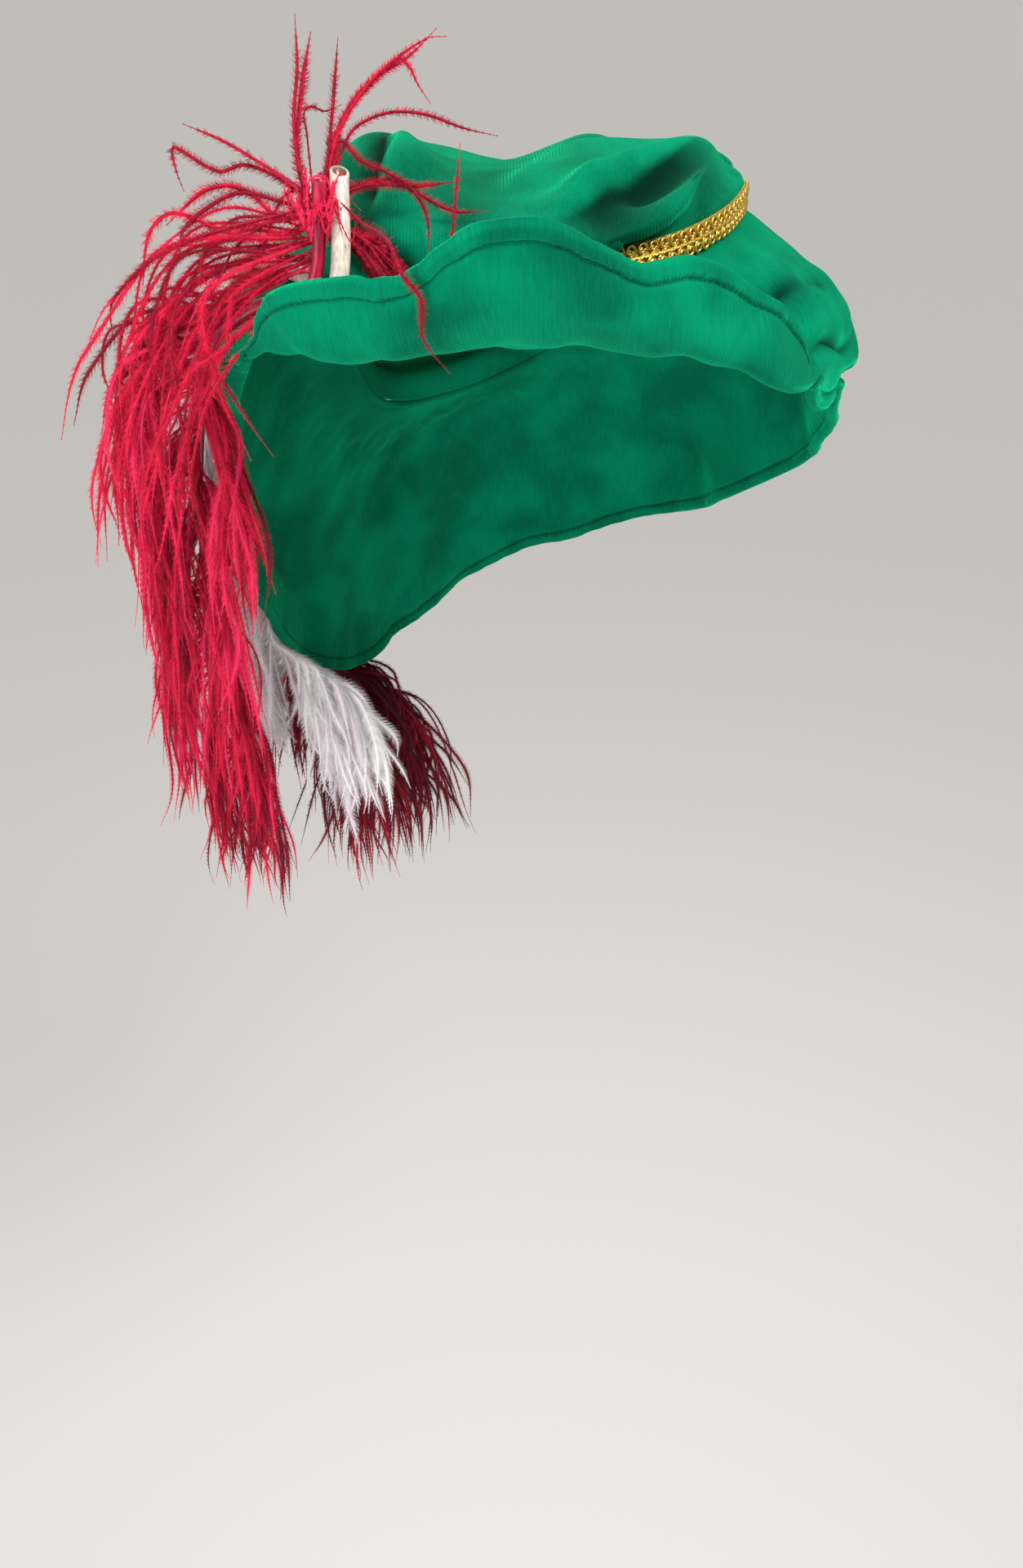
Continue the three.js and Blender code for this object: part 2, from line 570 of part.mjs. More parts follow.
// The white plume: it hangs behind the red one and its barbs fan out under the edge of the brim.
const WHITE_PLUME = {
  quill: WHITE_QUILL_WIDTH,
  length: WHITE_PLUME_LENGTH,
  steps: 16,
  stub: [0.008, 0.045, 0.124],
  over: [
    { at: 324, share: 0.33, over: 0.1 },
    { at: 313, share: 0.32, over: 0.15 },
    { at: 303, share: 0.38, over: 0.2 },
    { at: 292, share: 0.5, over: 0.15 },
    { at: 278, share: 0.72, over: 0 },
    { at: 264, share: 0.94, over: 0 },
  ],
  hang: [
    { x: 0.02, y: 0.04, z: -0.1 },
    { x: 0.07, y: 0.05, z: -0.22 },
  ],
  locks: [
    { from: 0.74, x: -0.05, y: 0.02, z: -0.22 },
    { from: 0.78, x: -0.04, y: 0.04, z: -0.28 },
    { from: 0.82, x: 0.06, y: 0.02, z: -0.24 },
    { from: 0.86, x: -0.06, y: 0.02, z: -0.22 },
    { from: 0.9, x: 0.05, y: 0.02, z: -0.24 },
    { from: 0.94, x: 0.1, y: 0.02, z: -0.21 },
    { from: 0.98, x: 0.04, y: 0.02, z: -0.2 },
  ],
};

// The dark red plume at the back: only its barbs show, below the brim and behind the white plume.
const BACK_PLUME = {
  quill: BACK_QUILL_WIDTH,
  length: BACK_PLUME_LENGTH,
  steps: 12,
  stub: [-0.02, -0.05, 0.1],
  over: [
    { at: 268, share: 0.3, over: 0.1 },
    { at: 258, share: 0.5, over: 0 },
    { at: 250, share: 0.75, over: 0 },
    { at: 244, share: 0.93, over: 0 },
  ],
  hang: [
    { x: 0, y: 0.05, z: -0.12 },
    { x: 0.01, y: 0.08, z: -0.28 },
  ],
  locks: [
    { from: 0.66, x: -0.08, y: 0.05, z: -0.36 },
    { from: 0.7, x: 0.02, y: 0.08, z: -0.42 },
    { from: 0.76, x: 0.1, y: 0.06, z: -0.36 },
    { from: 0.8, x: -0.05, y: 0.04, z: -0.42 },
    { from: 0.84, x: 0.16, y: 0.06, z: -0.34 },
    { from: 0.88, x: 0.04, y: 0.03, z: -0.42 },
    { from: 0.93, x: 0.12, y: 0.03, z: -0.34 },
    { from: 0.98, x: 0, y: 0.02, z: -0.34 },
  ],
};

// The largest connected body, which drops any tip that a cut has parted from its plume.
function largest(body) {
  return body.decompose().sort((a, b) => b.volume() - a.volume())[0];
}

const crown = crownGeometry();
const brim = brimGeometry(0);
const braid = braidGeometry(0);
const clothRoom = solid(brimGeometry(GAP)).add(solid(braidGeometry(GAP))).add(solid(crown));

const whitePlume = largest(plumeSolid(WHITE_PLUME, 0).subtract(clothRoom));
const redPlume = largest(
  plumeSolid(RED_PLUME, 0).subtract(clothRoom).subtract(plumeSolid(WHITE_PLUME, GAP)),
);
const backPlume = largest(
  plumeSolid(BACK_PLUME, 0)
    .subtract(clothRoom)
    .subtract(plumeSolid(RED_PLUME, GAP))
    .subtract(plumeSolid(WHITE_PLUME, GAP)),
);

const velvet = new THREE.MeshStandardMaterial({ color: 0x069a6b, roughness: 0.85, metalness: 0 });
const brimVelvet = new THREE.MeshStandardMaterial({ color: 0x05a274, roughness: 0.85, metalness: 0 });
const gold = new THREE.MeshStandardMaterial({ color: 0xc9a23a, roughness: 0.4, metalness: 0.8 });
const crimson = new THREE.MeshStandardMaterial({ color: 0xb3123f, roughness: 0.7, metalness: 0 });
const cream = new THREE.MeshStandardMaterial({ color: 0xdccfd6, roughness: 0.7, metalness: 0 });
const darkCrimson = new THREE.MeshStandardMaterial({ color: 0x7a0a2a, roughness: 0.7, metalness: 0 });

const hat = new THREE.Group();
const pieces = [
  ['crown', crown, velvet],
  ['brim', brim, brimVelvet],
  ['braid_band', braid, gold],
  ['red_plume', fromSolid(redPlume), crimson],
  ['white_plume', fromSolid(whitePlume), cream],
  ['back_plume', fromSolid(backPlume), darkCrimson],
];
for (const [name, made, material] of pieces) {
  const mesh = new THREE.Mesh(made, material);
  mesh.name = name;
  hat.add(mesh);
}

export default hat;
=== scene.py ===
"""A floppy velvet beret with a soft turned-up brim, a gold braid band and three ostrich plumes.

Metres, +Z up. The front faces -Y and +X is on the viewer's right. The origin is the middle of the head
opening, at the height of the seam over the brow. Angles round the hat run from the front to the viewer's
right, in degrees.
"""

import logging
import math
from dataclasses import dataclass, field
from enum import Enum

import bpy
import numpy as np
from bpy.types import Material, Node, NodeSocket, NodeTree, Object
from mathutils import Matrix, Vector
from mathutils.bvhtree import BVHTree
from numpy import ndarray
from numpy.random import Generator


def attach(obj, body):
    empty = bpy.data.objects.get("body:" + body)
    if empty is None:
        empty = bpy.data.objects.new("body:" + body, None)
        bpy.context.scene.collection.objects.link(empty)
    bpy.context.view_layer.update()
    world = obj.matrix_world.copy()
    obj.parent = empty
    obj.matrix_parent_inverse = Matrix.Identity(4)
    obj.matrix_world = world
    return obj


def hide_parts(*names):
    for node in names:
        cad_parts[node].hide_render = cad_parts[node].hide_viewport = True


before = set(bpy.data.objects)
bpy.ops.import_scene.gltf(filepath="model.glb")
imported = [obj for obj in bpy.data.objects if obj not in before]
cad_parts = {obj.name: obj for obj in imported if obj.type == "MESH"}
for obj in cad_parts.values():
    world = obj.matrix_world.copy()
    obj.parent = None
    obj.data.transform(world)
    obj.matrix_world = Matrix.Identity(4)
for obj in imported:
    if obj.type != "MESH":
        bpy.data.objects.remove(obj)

log = logging.getLogger("beret")

MILLIMETRE = 0.001
FULL_TURN = 360.0
BODY = "root"
UPRIGHT = np.array([0, 0, 1.0])

# Where a fold of the crown rises and falls along its run.
FOLD_RISE = (-0.25, 0.2)
FOLD_FALL = (0.7, 1.2)

# How broad a barb is, and how its flat side faces: spread aside, mean up and spread up.
BREADTHS = (0.7, 1.2)
FACING = (0.55, 0.3, 0.3)


# Tables of the form, shared with the part's source


@dataclass(frozen=True)
class SeamKey:
    """The seam's height at an angle, as a share of the nape's drop."""

    at: float
    up: float


@dataclass(frozen=True)
class BrimKey:
    """A section of the brim, as shares of its width from the seam."""

    at: float
    knee_out: float
    knee_up: float
    belly_out: float
    belly_up: float
    edge_out: float
    edge_up: float
    edge_round: float


@dataclass(frozen=True)
class BrimFold:
    """A fold of the brim: where it lies, how far it reaches round and across, and its push out and up."""

    at: float
    share: float
    turn: float
    reach: float
    out: float
    up: float


@dataclass(frozen=True)
class BrimCrease:
    """A fine crease of the brim: its place, its reach, its push off the cloth in metres and the painted
    shade laid along it.
    """

    at: float
    share: float
    turn: float
    reach: float
    push: float
    dark: float


@dataclass(frozen=True)
class CrownKey:
    """A meridian of the crown: the shoulder's reach and three heights, as shares of its puff and rise."""

    at: float
    shoulder_out: float
    shoulder_up: float
    crest_up: float
    middle_up: float


@dataclass(frozen=True)
class Fold:
    """A fold of the crown between two places in plan, with its lift and its spread to either side."""

    from_x: float
    from_y: float
    to_x: float
    to_y: float
    lift: float
    left: float
    right: float


@dataclass(frozen=True)
class Rest:
    """A place where a shaft rests on the brim: its angle, its share of the brim's width and its height."""

    at: float
    share: float
    over: float


@dataclass(frozen=True)
class Lock:
    """A lock of barbs: where it leaves the shaft, and its tip from there as shares of the plume's length."""

    leaves: float
    x: float
    y: float
    z: float
    wide: float = 1.0
    barbs: float = 1.0
    run: float = 0.02


def table(kind: type, rows: tuple) -> tuple:
    """Turn rows of numbers into rows with named columns."""
    return tuple(kind(*row) for row in rows)


SEAM = table(SeamKey, (
    (0, -0.2),
    (32, -0.165),
    (58, -0.115),
    (78, -0.085),
    (96, -0.13),
    (120, -0.33),
    (150, -0.62),
    (180, -0.88),
    (210, -1),
    (240, -0.93),
    (262, -0.6),
    (285, -0.13),
    (300, -0.03),
    (316, -0.15),
    (335, -0.21),
))

BRIM = table(BrimKey, (
    (0, 0.26, -0.05, 0.54, 0.03, 0.68, 0.294, -0.02),
    (7, 0.26, -0.05, 0.51, 0.02, 0.64, 0.25, -0.09),
    (15, 0.25, -0.06, 0.47, -0.03, 0.55, 0.16, -0.12),
    (23, 0.24, -0.08, 0.42, -0.07, 0.46, 0.15, -0.13),
    (34, 0.23, -0.11, 0.4, -0.16, 0.39, 0.053, -0.14),
    (45, 0.22, -0.13, 0.38, -0.27, 0.36, -0.1, -0.1),
    (57, 0.26, -0.1, 0.34, -0.29, 0.33, -0.4, -0.08),
    (72, 0.27, -0.16, 0.38, -0.38, 0.36, -0.445, 0.02),
    (90, 0.25, -0.21, 0.39, -0.46, 0.39, -0.65, 0),
    (108, 0.24, -0.19, 0.38, -0.47, 0.41, -0.79, -0.02),
    (128, 0.24, -0.2, 0.37, -0.55, 0.36, -0.93, 0.06),
    (153, 0.22, -0.2, 0.33, -0.56, 0.38, -0.93, 0.05),
    (178, 0.22, -0.2, 0.35, -0.54, 0.39, -0.9, 0),
    (203, 0.2, -0.2, 0.28, -0.6, 0.33, -0.99, -0.06),
    (225, 0.17, -0.22, 0.22, -0.62, 0.21, -1.06, -0.03),
    (243, 0.16, -0.26, 0.21, -0.7, 0.15, -1.1, 0.02),
    (257, 0.18, -0.24, 0.28, -0.68, 0.23, -1.12, 0.06),
    (270, 0.2, -0.2, 0.33, -0.6, 0.32, -1, 0.09),
    (283, 0.22, -0.17, 0.36, -0.5, 0.36, -0.86, 0.13),
    (298, 0.24, -0.11, 0.4, -0.34, 0.39, -0.6, 0.11),
    (312, 0.25, -0.06, 0.45, -0.2, 0.44, -0.24, 0.11),
    (325, 0.25, -0.03, 0.48, -0.09, 0.53, 0.05, 0.08),
    (336, 0.26, -0.03, 0.52, -0.04, 0.62, 0.155, 0.12),
    (345, 0.26, -0.03, 0.54, -0.01, 0.67, 0.18, 0.08),
    (353, 0.26, -0.04, 0.55, 0.03, 0.69, 0.26, 0),
))

BRIM_FOLDS = table(BrimFold, (
    (84, 0.84, 13, 0.1, -0.14, 0.03),
    (66, 0.5, 6, 0.16, 0, -0.035),
    (78, 0.52, 6, 0.16, 0, 0.03),
    (122, 1, 10, 0.45, -0.05, 0),
    (146, 1, 11, 0.45, 0.06, 0),
    (170, 1, 10, 0.4, -0.05, 0),
    (196, 1, 12, 0.45, 0.05, 0),
    (286, 0.75, 7, 0.3, -0.03, 0),
))

CROWN = table(CrownKey, (
    (0, 0.4, -0.3, 0.42, 0.45),
    (25, 0.2, 0.1, 0.4, 0.5),
    (45, -0.05, 0.5, 0.6, 0.55),
    (68, -0.38, 0.45, 0.72, 0.6),
    (90, -0.28, 0.3, 0.55, 0.5),
    (120, 0.4, 0.5, 0.35, 0.45),
    (150, 0.8, 1, 0.1, 0.35),
    (180, 1, 1.2, -0.1, 0.3),
    (210, 1, 1.4, -0.1, 0.3),
    (240, 0.6, 1.4, 0.1, 0.4),
    (270, 0.02, 0.8, 0.6, 0.5),
    (298, -0.08, 0.4, 0.92, 0.55),
    (316, 0.25, -0.25, 0.75, 0.5),
    (338, 0.42, -0.35, 0.45, 0.45),
))

CROWN_FOLDS = table(Fold, (
    (0.7, -0.28, 0.1, -0.88, 0.7, 0.1, 0.035),
    (0.76, -0.42, 0.38, -0.85, -0.9, 0.04, 0.09),
    (-0.78, -0.2, -0.66, -0.75, -0.9, 0.05, 0.035),
    (-0.62, -0.2, -0.5, -0.6, 0.35, 0.05, 0.12),
    (-0.2, -0.85, -0.12, 0.7, -0.45, 0.13, 0.1),
    (0.22, -0.55, 0.3, 0.75, 0.4, 0.08, 0.12),
    (-0.75, 0.1, -0.4, 0.95, 0.6, 0.1, 0.1),
    (0.05, 0.35, 0.02, 1.15, -0.6, 0.08, 0.08),
    (0.55, 0.2, 0.75, 0.8, -0.5, 0.08, 0.1),
))


# Fine creases of the brim; the last column is the painted shade laid along each.
BRIM_CREASES = table(BrimCrease, (
    (52, 0.3, 4.5, 0.045, -0.003, 0.85),
    (57, 0.38, 6, 0.045, 0.0018, 0),
    (63, 0.33, 6, 0.025, -0.0012, 0.45),
    (61, 0.56, 10, 0.045, -0.0032, 0.9),
    (65, 0.47, 10, 0.05, 0.0018, 0),
    (60, 0.66, 9, 0.05, 0.0012, 0),
    (262, 0.77, 7, 0.03, 0.0012, 0.25),
    (300, 0.6, 5, 0.06, 0.0014, 0.15),
))

# Finer creases of the crown, and runs of painted shade that darken the pile along its folds and recesses.
CROWN_CREASES = table(Fold, (
    (0.68, -0.36, 0.11, -1.03, -0.55, 0.1, 0.018),
    (0.62, -0.34, 0.08, -0.95, 0.3, 0.02, 0.06),
    (-0.68, -0.3, -0.7, -0.85, -0.45, 0.02, 0.05),
    (-0.6, -0.3, -0.62, -0.7, 0.12, 0.05, 0.03),
    (0.9, -0.2, 0.62, -0.72, 0.2, 0.03, 0.03),
    (-0.35, -0.4, -0.5, -0.9, -0.2, 0.04, 0.02),
    (0.05, -0.3, -0.1, -0.75, 0.15, 0.05, 0.03),
))

CROWN_PAINTED_SHADES = table(Fold, (
    (0.7, -0.34, 0.09, -1.06, 0.95, 0.12, 0.012),
    (-0.68, -0.06, -0.69, -0.9, 0.95, 0.012, 0.05),
    (-0.55, -0.7, -0.2, -1, 0.35, 0.06, 0.06),
    (-0.2, -0.35, -0.3, -0.7, 0.3, 0.05, 0.08),
    (0.3, -0.35, 0.05, -0.65, 0.25, 0.06, 0.04),
))


# Curves and grids


def curve_weights(stations: ndarray, places: ndarray, period: float = 0.0) -> ndarray:
    """Find the matrix that turns values at uneven stations into a smooth curve.

    Args:
        stations: Where the values stand, in rising order.
        places: Where the curve is read.
        period: The length of one round, or 0 for a curve with two ends.

    Returns:
        A matrix with a row for each place and a column for each station.
    """
    marks = np.asarray(stations, float)
    spots = np.asarray(places, float)
    count = len(marks)
    last = count if period else count - 1

    def index(i: ndarray) -> ndarray:
        return i % count if period else np.clip(i, 0, count - 1)

    def mark(i: ndarray) -> ndarray:
        return marks[index(i)] + period * (i // count if period else 0)

    at = np.clip(np.searchsorted(marks, spots, side="right") - 1, 0, last - 1)
    span = mark(at + 1) - mark(at)
    u = np.clip((spots - mark(at)) / span, 0, 1)
    rise = u * u * (3 - 2 * u)
    matrix = np.zeros((len(spots), count))
    rows = np.arange(len(spots))
    np.add.at(matrix, (rows, index(at)), 1 - rise)
    np.add.at(matrix, (rows, index(at + 1)), rise)
    slopes = ((at, span * u * (1 - u) ** 2), (at + 1, -span * u * u * (1 - u)))
    for j, amount in slopes:
        before = j - 1 if period else np.clip(j - 1, 0, count - 1)
        after = j + 1 if period else np.clip(j + 1, 0, count - 1)
        run = mark(after) - mark(before)
        np.add.at(matrix, (rows, index(after)), amount / run)
        np.add.at(matrix, (rows, index(before)), -amount / run)
    return matrix


def read_round(rows: tuple, column: str, angles: ndarray) -> ndarray:
    """Read a column of a table that runs all round the hat.

    Args:
        rows: The table's rows, each with its angle.
        column: The name of the column.
        angles: Where it is read, in degrees.

    Returns:
        The column's value at each angle.
    """
    stations = np.array([row.at for row in rows], float)
    values = np.array([getattr(row, column) for row in rows], float)
    return curve_weights(stations, np.mod(angles, FULL_TURN), FULL_TURN) @ values


def smooth_path(points: ndarray, count: int) -> ndarray:
    """Draw a smooth line through a few points.

    Args:
        points: The points it passes.
        count: How many points the line has.

    Returns:
        The points of the line, evenly spaced by the chord.
    """
    keys = run_along(points)
    return curve_weights(keys, np.linspace(0, keys[-1], count)) @ points


def run_along(points: ndarray) -> ndarray:
    """Give the length of a line up to each of its points."""
    steps = np.linalg.norm(np.diff(points, axis=0), axis=1)
    return np.concatenate([[0.0], np.cumsum(steps)])


def even_angles(count: int) -> ndarray:
    """Give evenly spaced angles of one round, from the front."""
    return np.arange(count) * FULL_TURN / count


def smoothstep(values: ndarray, low: float, high: float) -> ndarray:
    """Rise smoothly from 0 at the low value to 1 at the high one."""
    u = np.clip((values - low) / (high - low), 0, 1)
    return u * u * (3 - 2 * u)


def unit(vectors: ndarray) -> ndarray:
    """Scale vectors to a length of one."""
    length = np.linalg.norm(vectors, axis=-1, keepdims=True)
    return vectors / np.maximum(length, 1e-12)


def fold_runs(rows: tuple, across: ndarray, back: ndarray) -> ndarray:
    """Add up the folds of a table over places in plan.

    Args:
        rows: The table's rows.
        across: The places to the right, as shares of half the head's width.
        back: The places to the back, as shares of half the head's length.

    Returns:
        The sum of the folds' lifts at each place.
    """
    lift = np.zeros_like(across)
    for fold in rows:
        run_x = fold.to_x - fold.from_x
        run_y = fold.to_y - fold.from_y
        length = math.hypot(run_x, run_y)
        along = ((across - fold.from_x) * run_x + (back - fold.from_y) * run_y) / length**2
        aside = ((across - fold.from_x) * run_y - (back - fold.from_y) * run_x) / length / 2
        spread = np.where(aside < 0, fold.left, fold.right)
        ends = smoothstep(along, *FOLD_RISE) * (1 - smoothstep(along, *FOLD_FALL))
        lift += fold.lift * np.exp(-((aside / spread) ** 2)) * ends
    return lift


def near_place(row: BrimFold | BrimCrease, angles: ndarray, shares: ndarray) -> ndarray:
    """Find how strongly a fold of the brim acts, from 0 to 1.

    Args:
        row: The fold or the crease.
        angles: Where it is read round the hat, in degrees.
        shares: Where it is read across the brim.

    Returns:
        Its strength, one row for each angle.
    """
    turned = np.mod(angles - row.at + 1.5 * FULL_TURN, FULL_TURN) - FULL_TURN / 2
    round_it = np.exp(-((turned / row.turn) ** 2))
    across_it = np.exp(-(((shares - row.share) / row.reach) ** 2))
    return round_it[:, None] * across_it


def soft_waves(across: ndarray, along: ndarray, size: float, seed: int, count: int = 14) -> ndarray:
    """Make an uneven soft surface from a few waves that run in different directions.

    Args:
        across: The first coordinate of each place.
        along: The second coordinate of each place.
        size: The usual length of a wave, in the coordinates' unit.
        seed: The seed of the waves' directions and phases.
        count: How many waves there are.

    Returns:
        A height at each place, mostly between -1 and 1.
    """
    random = np.random.default_rng(seed)
    height = np.zeros(np.broadcast(across, along).shape)
    for _ in range(count):
        turn = random.uniform(0, math.pi)
        length = size * random.uniform(0.7, 1.6)
        phase = random.uniform(0, 2 * math.pi)
        run = across * math.cos(turn) + along * math.sin(turn)
        height = height + np.sin(2 * math.pi * run / length + phase)
    return height / math.sqrt(count)


@dataclass(frozen=True)
class Waves:
    """Soft waves of a cloth: size, seed and height, and the shares where they come and go."""

    size: float
    seed: int
    height: float
    starts: float
    full: float
    fades: float = 1.0
    ends: float = 2.0
    squeeze: float = 1.0

    def heights(self, across: ndarray, along: ndarray, shares: ndarray) -> ndarray:
        """Give the height of the waves at each place."""
        shape = soft_waves(across, along * self.squeeze, self.size, self.seed) * self.height
        come = smoothstep(shares, self.starts, self.full)
        return shape * come * (1 - smoothstep(shares, self.fades, self.ends))


# Flutes, dents, gathers at the seam and puckers along the hem.
BRIM_WAVES = (
    Waves(0.058, 11, 0.0018, 0.3, 0.95),
    Waves(0.021, 23, 0.00055, 0.1, 0.3),
    Waves(0.008, 31, 0.0004, 0.1, 0.3, 0.3, 0.5),
    Waves(0.0075, 47, 0.00022, 0.86, 0.95),
)

@dataclass(frozen=True)
class Pleats:
    """Pleats at the crown's seam: how many, how far and how often they sway, and their height."""

    count: int
    sway: float
    sways: int
    height: float

    def heights(self, turn: ndarray) -> ndarray:
        """Give the height of the pleats at each angle, in radians."""
        return self.height * np.cos(self.count * turn + self.sway * np.sin(self.sways * turn))


CROWN_PLEATS = (Pleats(64, 5, 3, 1.0), Pleats(41, 4, 2, 0.6))

CROWN_WAVES = (
    Waves(0.046, 71, 0.0016, 0.17, 0.27),
    Waves(0.02, 83, 0.0004, 0.17, 0.27, squeeze=0.5),
)


def grid_normals(grid: ndarray) -> ndarray:
    """Find the unit normals of a grid that closes on itself along its first axis.

    Args:
        grid: Points in rows round the hat and columns away from the seam.

    Returns:
        The cross product of the outward and the round-going direction at each point, as unit vectors.
    """
    around = np.roll(grid, -1, axis=0) - np.roll(grid, 1, axis=0)
    outward = np.gradient(grid, axis=1)
    return unit(np.cross(outward, around))


def ring(sides: int, across: ndarray, up: ndarray) -> ndarray:
    """Give the corners of a polygon of radius one that lies between two directions."""
    turn = np.arange(sides) * 2 * math.pi / sides
    return np.cos(turn)[:, None] * across + np.sin(turn)[:, None] * up


def round_faces(around: int, size: int, start: int = 0) -> list:
    """Join closed rings of points into a surface that closes both ways.

    Args:
        around: The number of rings.
        size: The points in each ring.
        start: The number of the first point.

    Returns:
        The faces.
    """
    faces = []
    for i in range(around):
        here = start + i * size
        after = start + (i + 1) % around * size
        for j in range(size):
            k = (j + 1) % size
            faces.append((here + j, after + j, after + k, here + k))
    return faces


def add_object(name: str, mesh: bpy.types.Mesh) -> Object:
    """Put a mesh into the scene as an object at the origin."""
    made = bpy.data.objects.new(name, mesh)
    bpy.context.scene.collection.objects.link(made)
    return made


def mesh_object(name: str, points: ndarray, faces: list, finish: Material) -> Object:
    """Make a smooth-shaded mesh object at the origin.

    Args:
        name: The name of the object.
        points: Its points in the row frame.
        faces: Its faces, by the points' numbers.
        finish: The material it is made of.

    Returns:
        The new object.
    """
    mesh = bpy.data.meshes.new(name)
    mesh.from_pydata(points.reshape(-1, 3).tolist(), [], faces)
    mesh.materials.append(finish)
    mesh.polygons.foreach_set("use_smooth", [True] * len(mesh.polygons))
    mesh.update()
    return add_object(name, mesh)


def set_attribute(made: Object, name: str, values: ndarray) -> None:
    """Store a number for each point of a mesh."""
    attribute = made.data.attributes.new(name, "FLOAT", "POINT")
    attribute.data.foreach_set("value", np.asarray(values, np.float32).ravel())


def set_uv(made: Object, u: ndarray, v: ndarray, name: str = "cloth") -> None:
    """Give a mesh a UV map from one pair of numbers for each point, and mend it where it wraps round.

    Args:
        made: The mesh object.
        u: The first coordinate of each point, which runs round the hat.
        v: The second coordinate of each point.
        name: The name of the map.
    """
    mesh = made.data
    layer = mesh.uv_layers.new(name=name)
    corners = np.zeros(len(mesh.loops), np.int64)
    mesh.loops.foreach_get("vertex_index", corners)
    starts = np.zeros(len(mesh.polygons), np.int64)
    totals = np.zeros(len(mesh.polygons), np.int64)
    mesh.polygons.foreach_get("loop_start", starts)
    mesh.polygons.foreach_get("loop_total", totals)
    owner = np.repeat(np.arange(len(starts)), totals)
    flat_u = u.ravel()[corners]
    lap = u.max()
    highest = np.maximum.reduceat(flat_u, starts)
    wrapped = (highest[owner] - flat_u) > lap / 2
    flat_u = np.where(wrapped, flat_u + lap * (1 + 1 / u.shape[0]), flat_u)
    pairs = np.stack([flat_u, v.ravel()[corners]], axis=1).astype(np.float32)
    layer.data.foreach_set("uv", pairs.ravel())


# The forms of the hat


@dataclass(frozen=True)
class HeadOpening:
    """The seam between crown and brim, which drops towards the nape."""

    width: float = 0.162
    length: float = 0.198
    nape_drop: float = 0.106

    def seam(self, angles: ndarray) -> tuple:
        """Find the seam's places and directions.

        Args:
            angles: Where the seam is read, in degrees.

        Returns:
            The places, the directions out of the opening and the directions round it.
        """
        turn = np.radians(angles)
        nothing = np.zeros_like(turn)
        out = unit(np.stack([np.sin(turn) / self.width, -np.cos(turn) / self.length, nothing], axis=-1))
        height = read_round(SEAM, "up", angles) * self.nape_drop
        place = np.stack([np.sin(turn) * self.width / 2, -np.cos(turn) * self.length / 2, height], axis=-1)
        along = np.stack([-out[..., 1], out[..., 0], nothing], axis=-1)
        return place, out, along


@dataclass
class BrimForm:
    """The brim's middle surface, from the seam to the hemmed edge."""

    head: HeadOpening
    width: float = 0.130
    wall: float = 0.003
    crown_wall: float = 0.0018
    flat: float = 0.0027
    stations: tuple = (0, 0.06, 0.34, 0.68, 1)

    def surface(self, angles: ndarray, shares: ndarray) -> ndarray:
        """Find points of the middle surface.

        Args:
            angles: Where it is read round the hat, in degrees.
            shares: Where it is read across the brim, from 0 at the seam to 1 at the edge.

        Returns:
            A grid of points, one row for each angle.
        """
        place, out, along = self.head.seam(angles)

        def row(column: str) -> ndarray:
            return read_round(BRIM, column, angles) * self.width

        nothing = np.zeros(len(angles))
        drop = -self.wall / 2
        slide = row("edge_round")
        seam = [nothing - self.crown_wall, nothing + self.flat]
        reach = [*seam, row("knee_out"), row("belly_out"), row("edge_out")]
        heights = [nothing, nothing, row("knee_up"), row("belly_up"), row("edge_up")]
        slides = [nothing, nothing, slide * 0.3, slide * 0.65, slide]
        matrix = curve_weights(np.array(self.stations), shares)
        pushed_out, pushed_up = self.folds(angles, shares)
        far = np.stack(reach, axis=1) @ matrix.T + pushed_out
        side = np.stack(slides, axis=1) @ matrix.T
        rise = np.stack(heights, axis=1) @ matrix.T + drop + pushed_up
        grid = place[:, None] + far[..., None] * out[:, None] + side[..., None] * along[:, None]
        grid[..., 2] += rise
        return grid

    def folds(self, angles: ndarray, shares: ndarray) -> tuple:
        """Find how far the folds push the brim out and up.

        Args:
            angles: Where they are read round the hat, in degrees.
            shares: Where they are read across the brim.

        Returns:
            The push out and the push up, one row for each angle.
        """
        out = np.zeros((len(angles), len(shares)))
        up = np.zeros_like(out)
        free = smoothstep(shares, self.stations[1], self.stations[2])
        for fold in BRIM_FOLDS:
            near = near_place(fold, angles, shares) * free * self.width
            out += fold.out * near
            up += fold.up * near
        return out, up

    def over(self, rest: Rest, lift: float) -> ndarray:
        """Find a place over the brim's upper face.

        Args:
            rest: The angle and the share of the width.
            lift: The height over the middle surface.

        Returns:
            The point.
        """
        step = 0.5
        reach = 0.01
        angles = np.array([rest.at - step, rest.at, rest.at + step])
        shares = np.array([max(rest.share - reach, 0), rest.share, min(rest.share + reach, 1)])
        grid = self.surface(angles, shares)
        across = grid[1, 2] - grid[1, 0]
        around = grid[2, 1] - grid[0, 1]
        return grid[1, 1] + unit(np.cross(across, around)) * lift


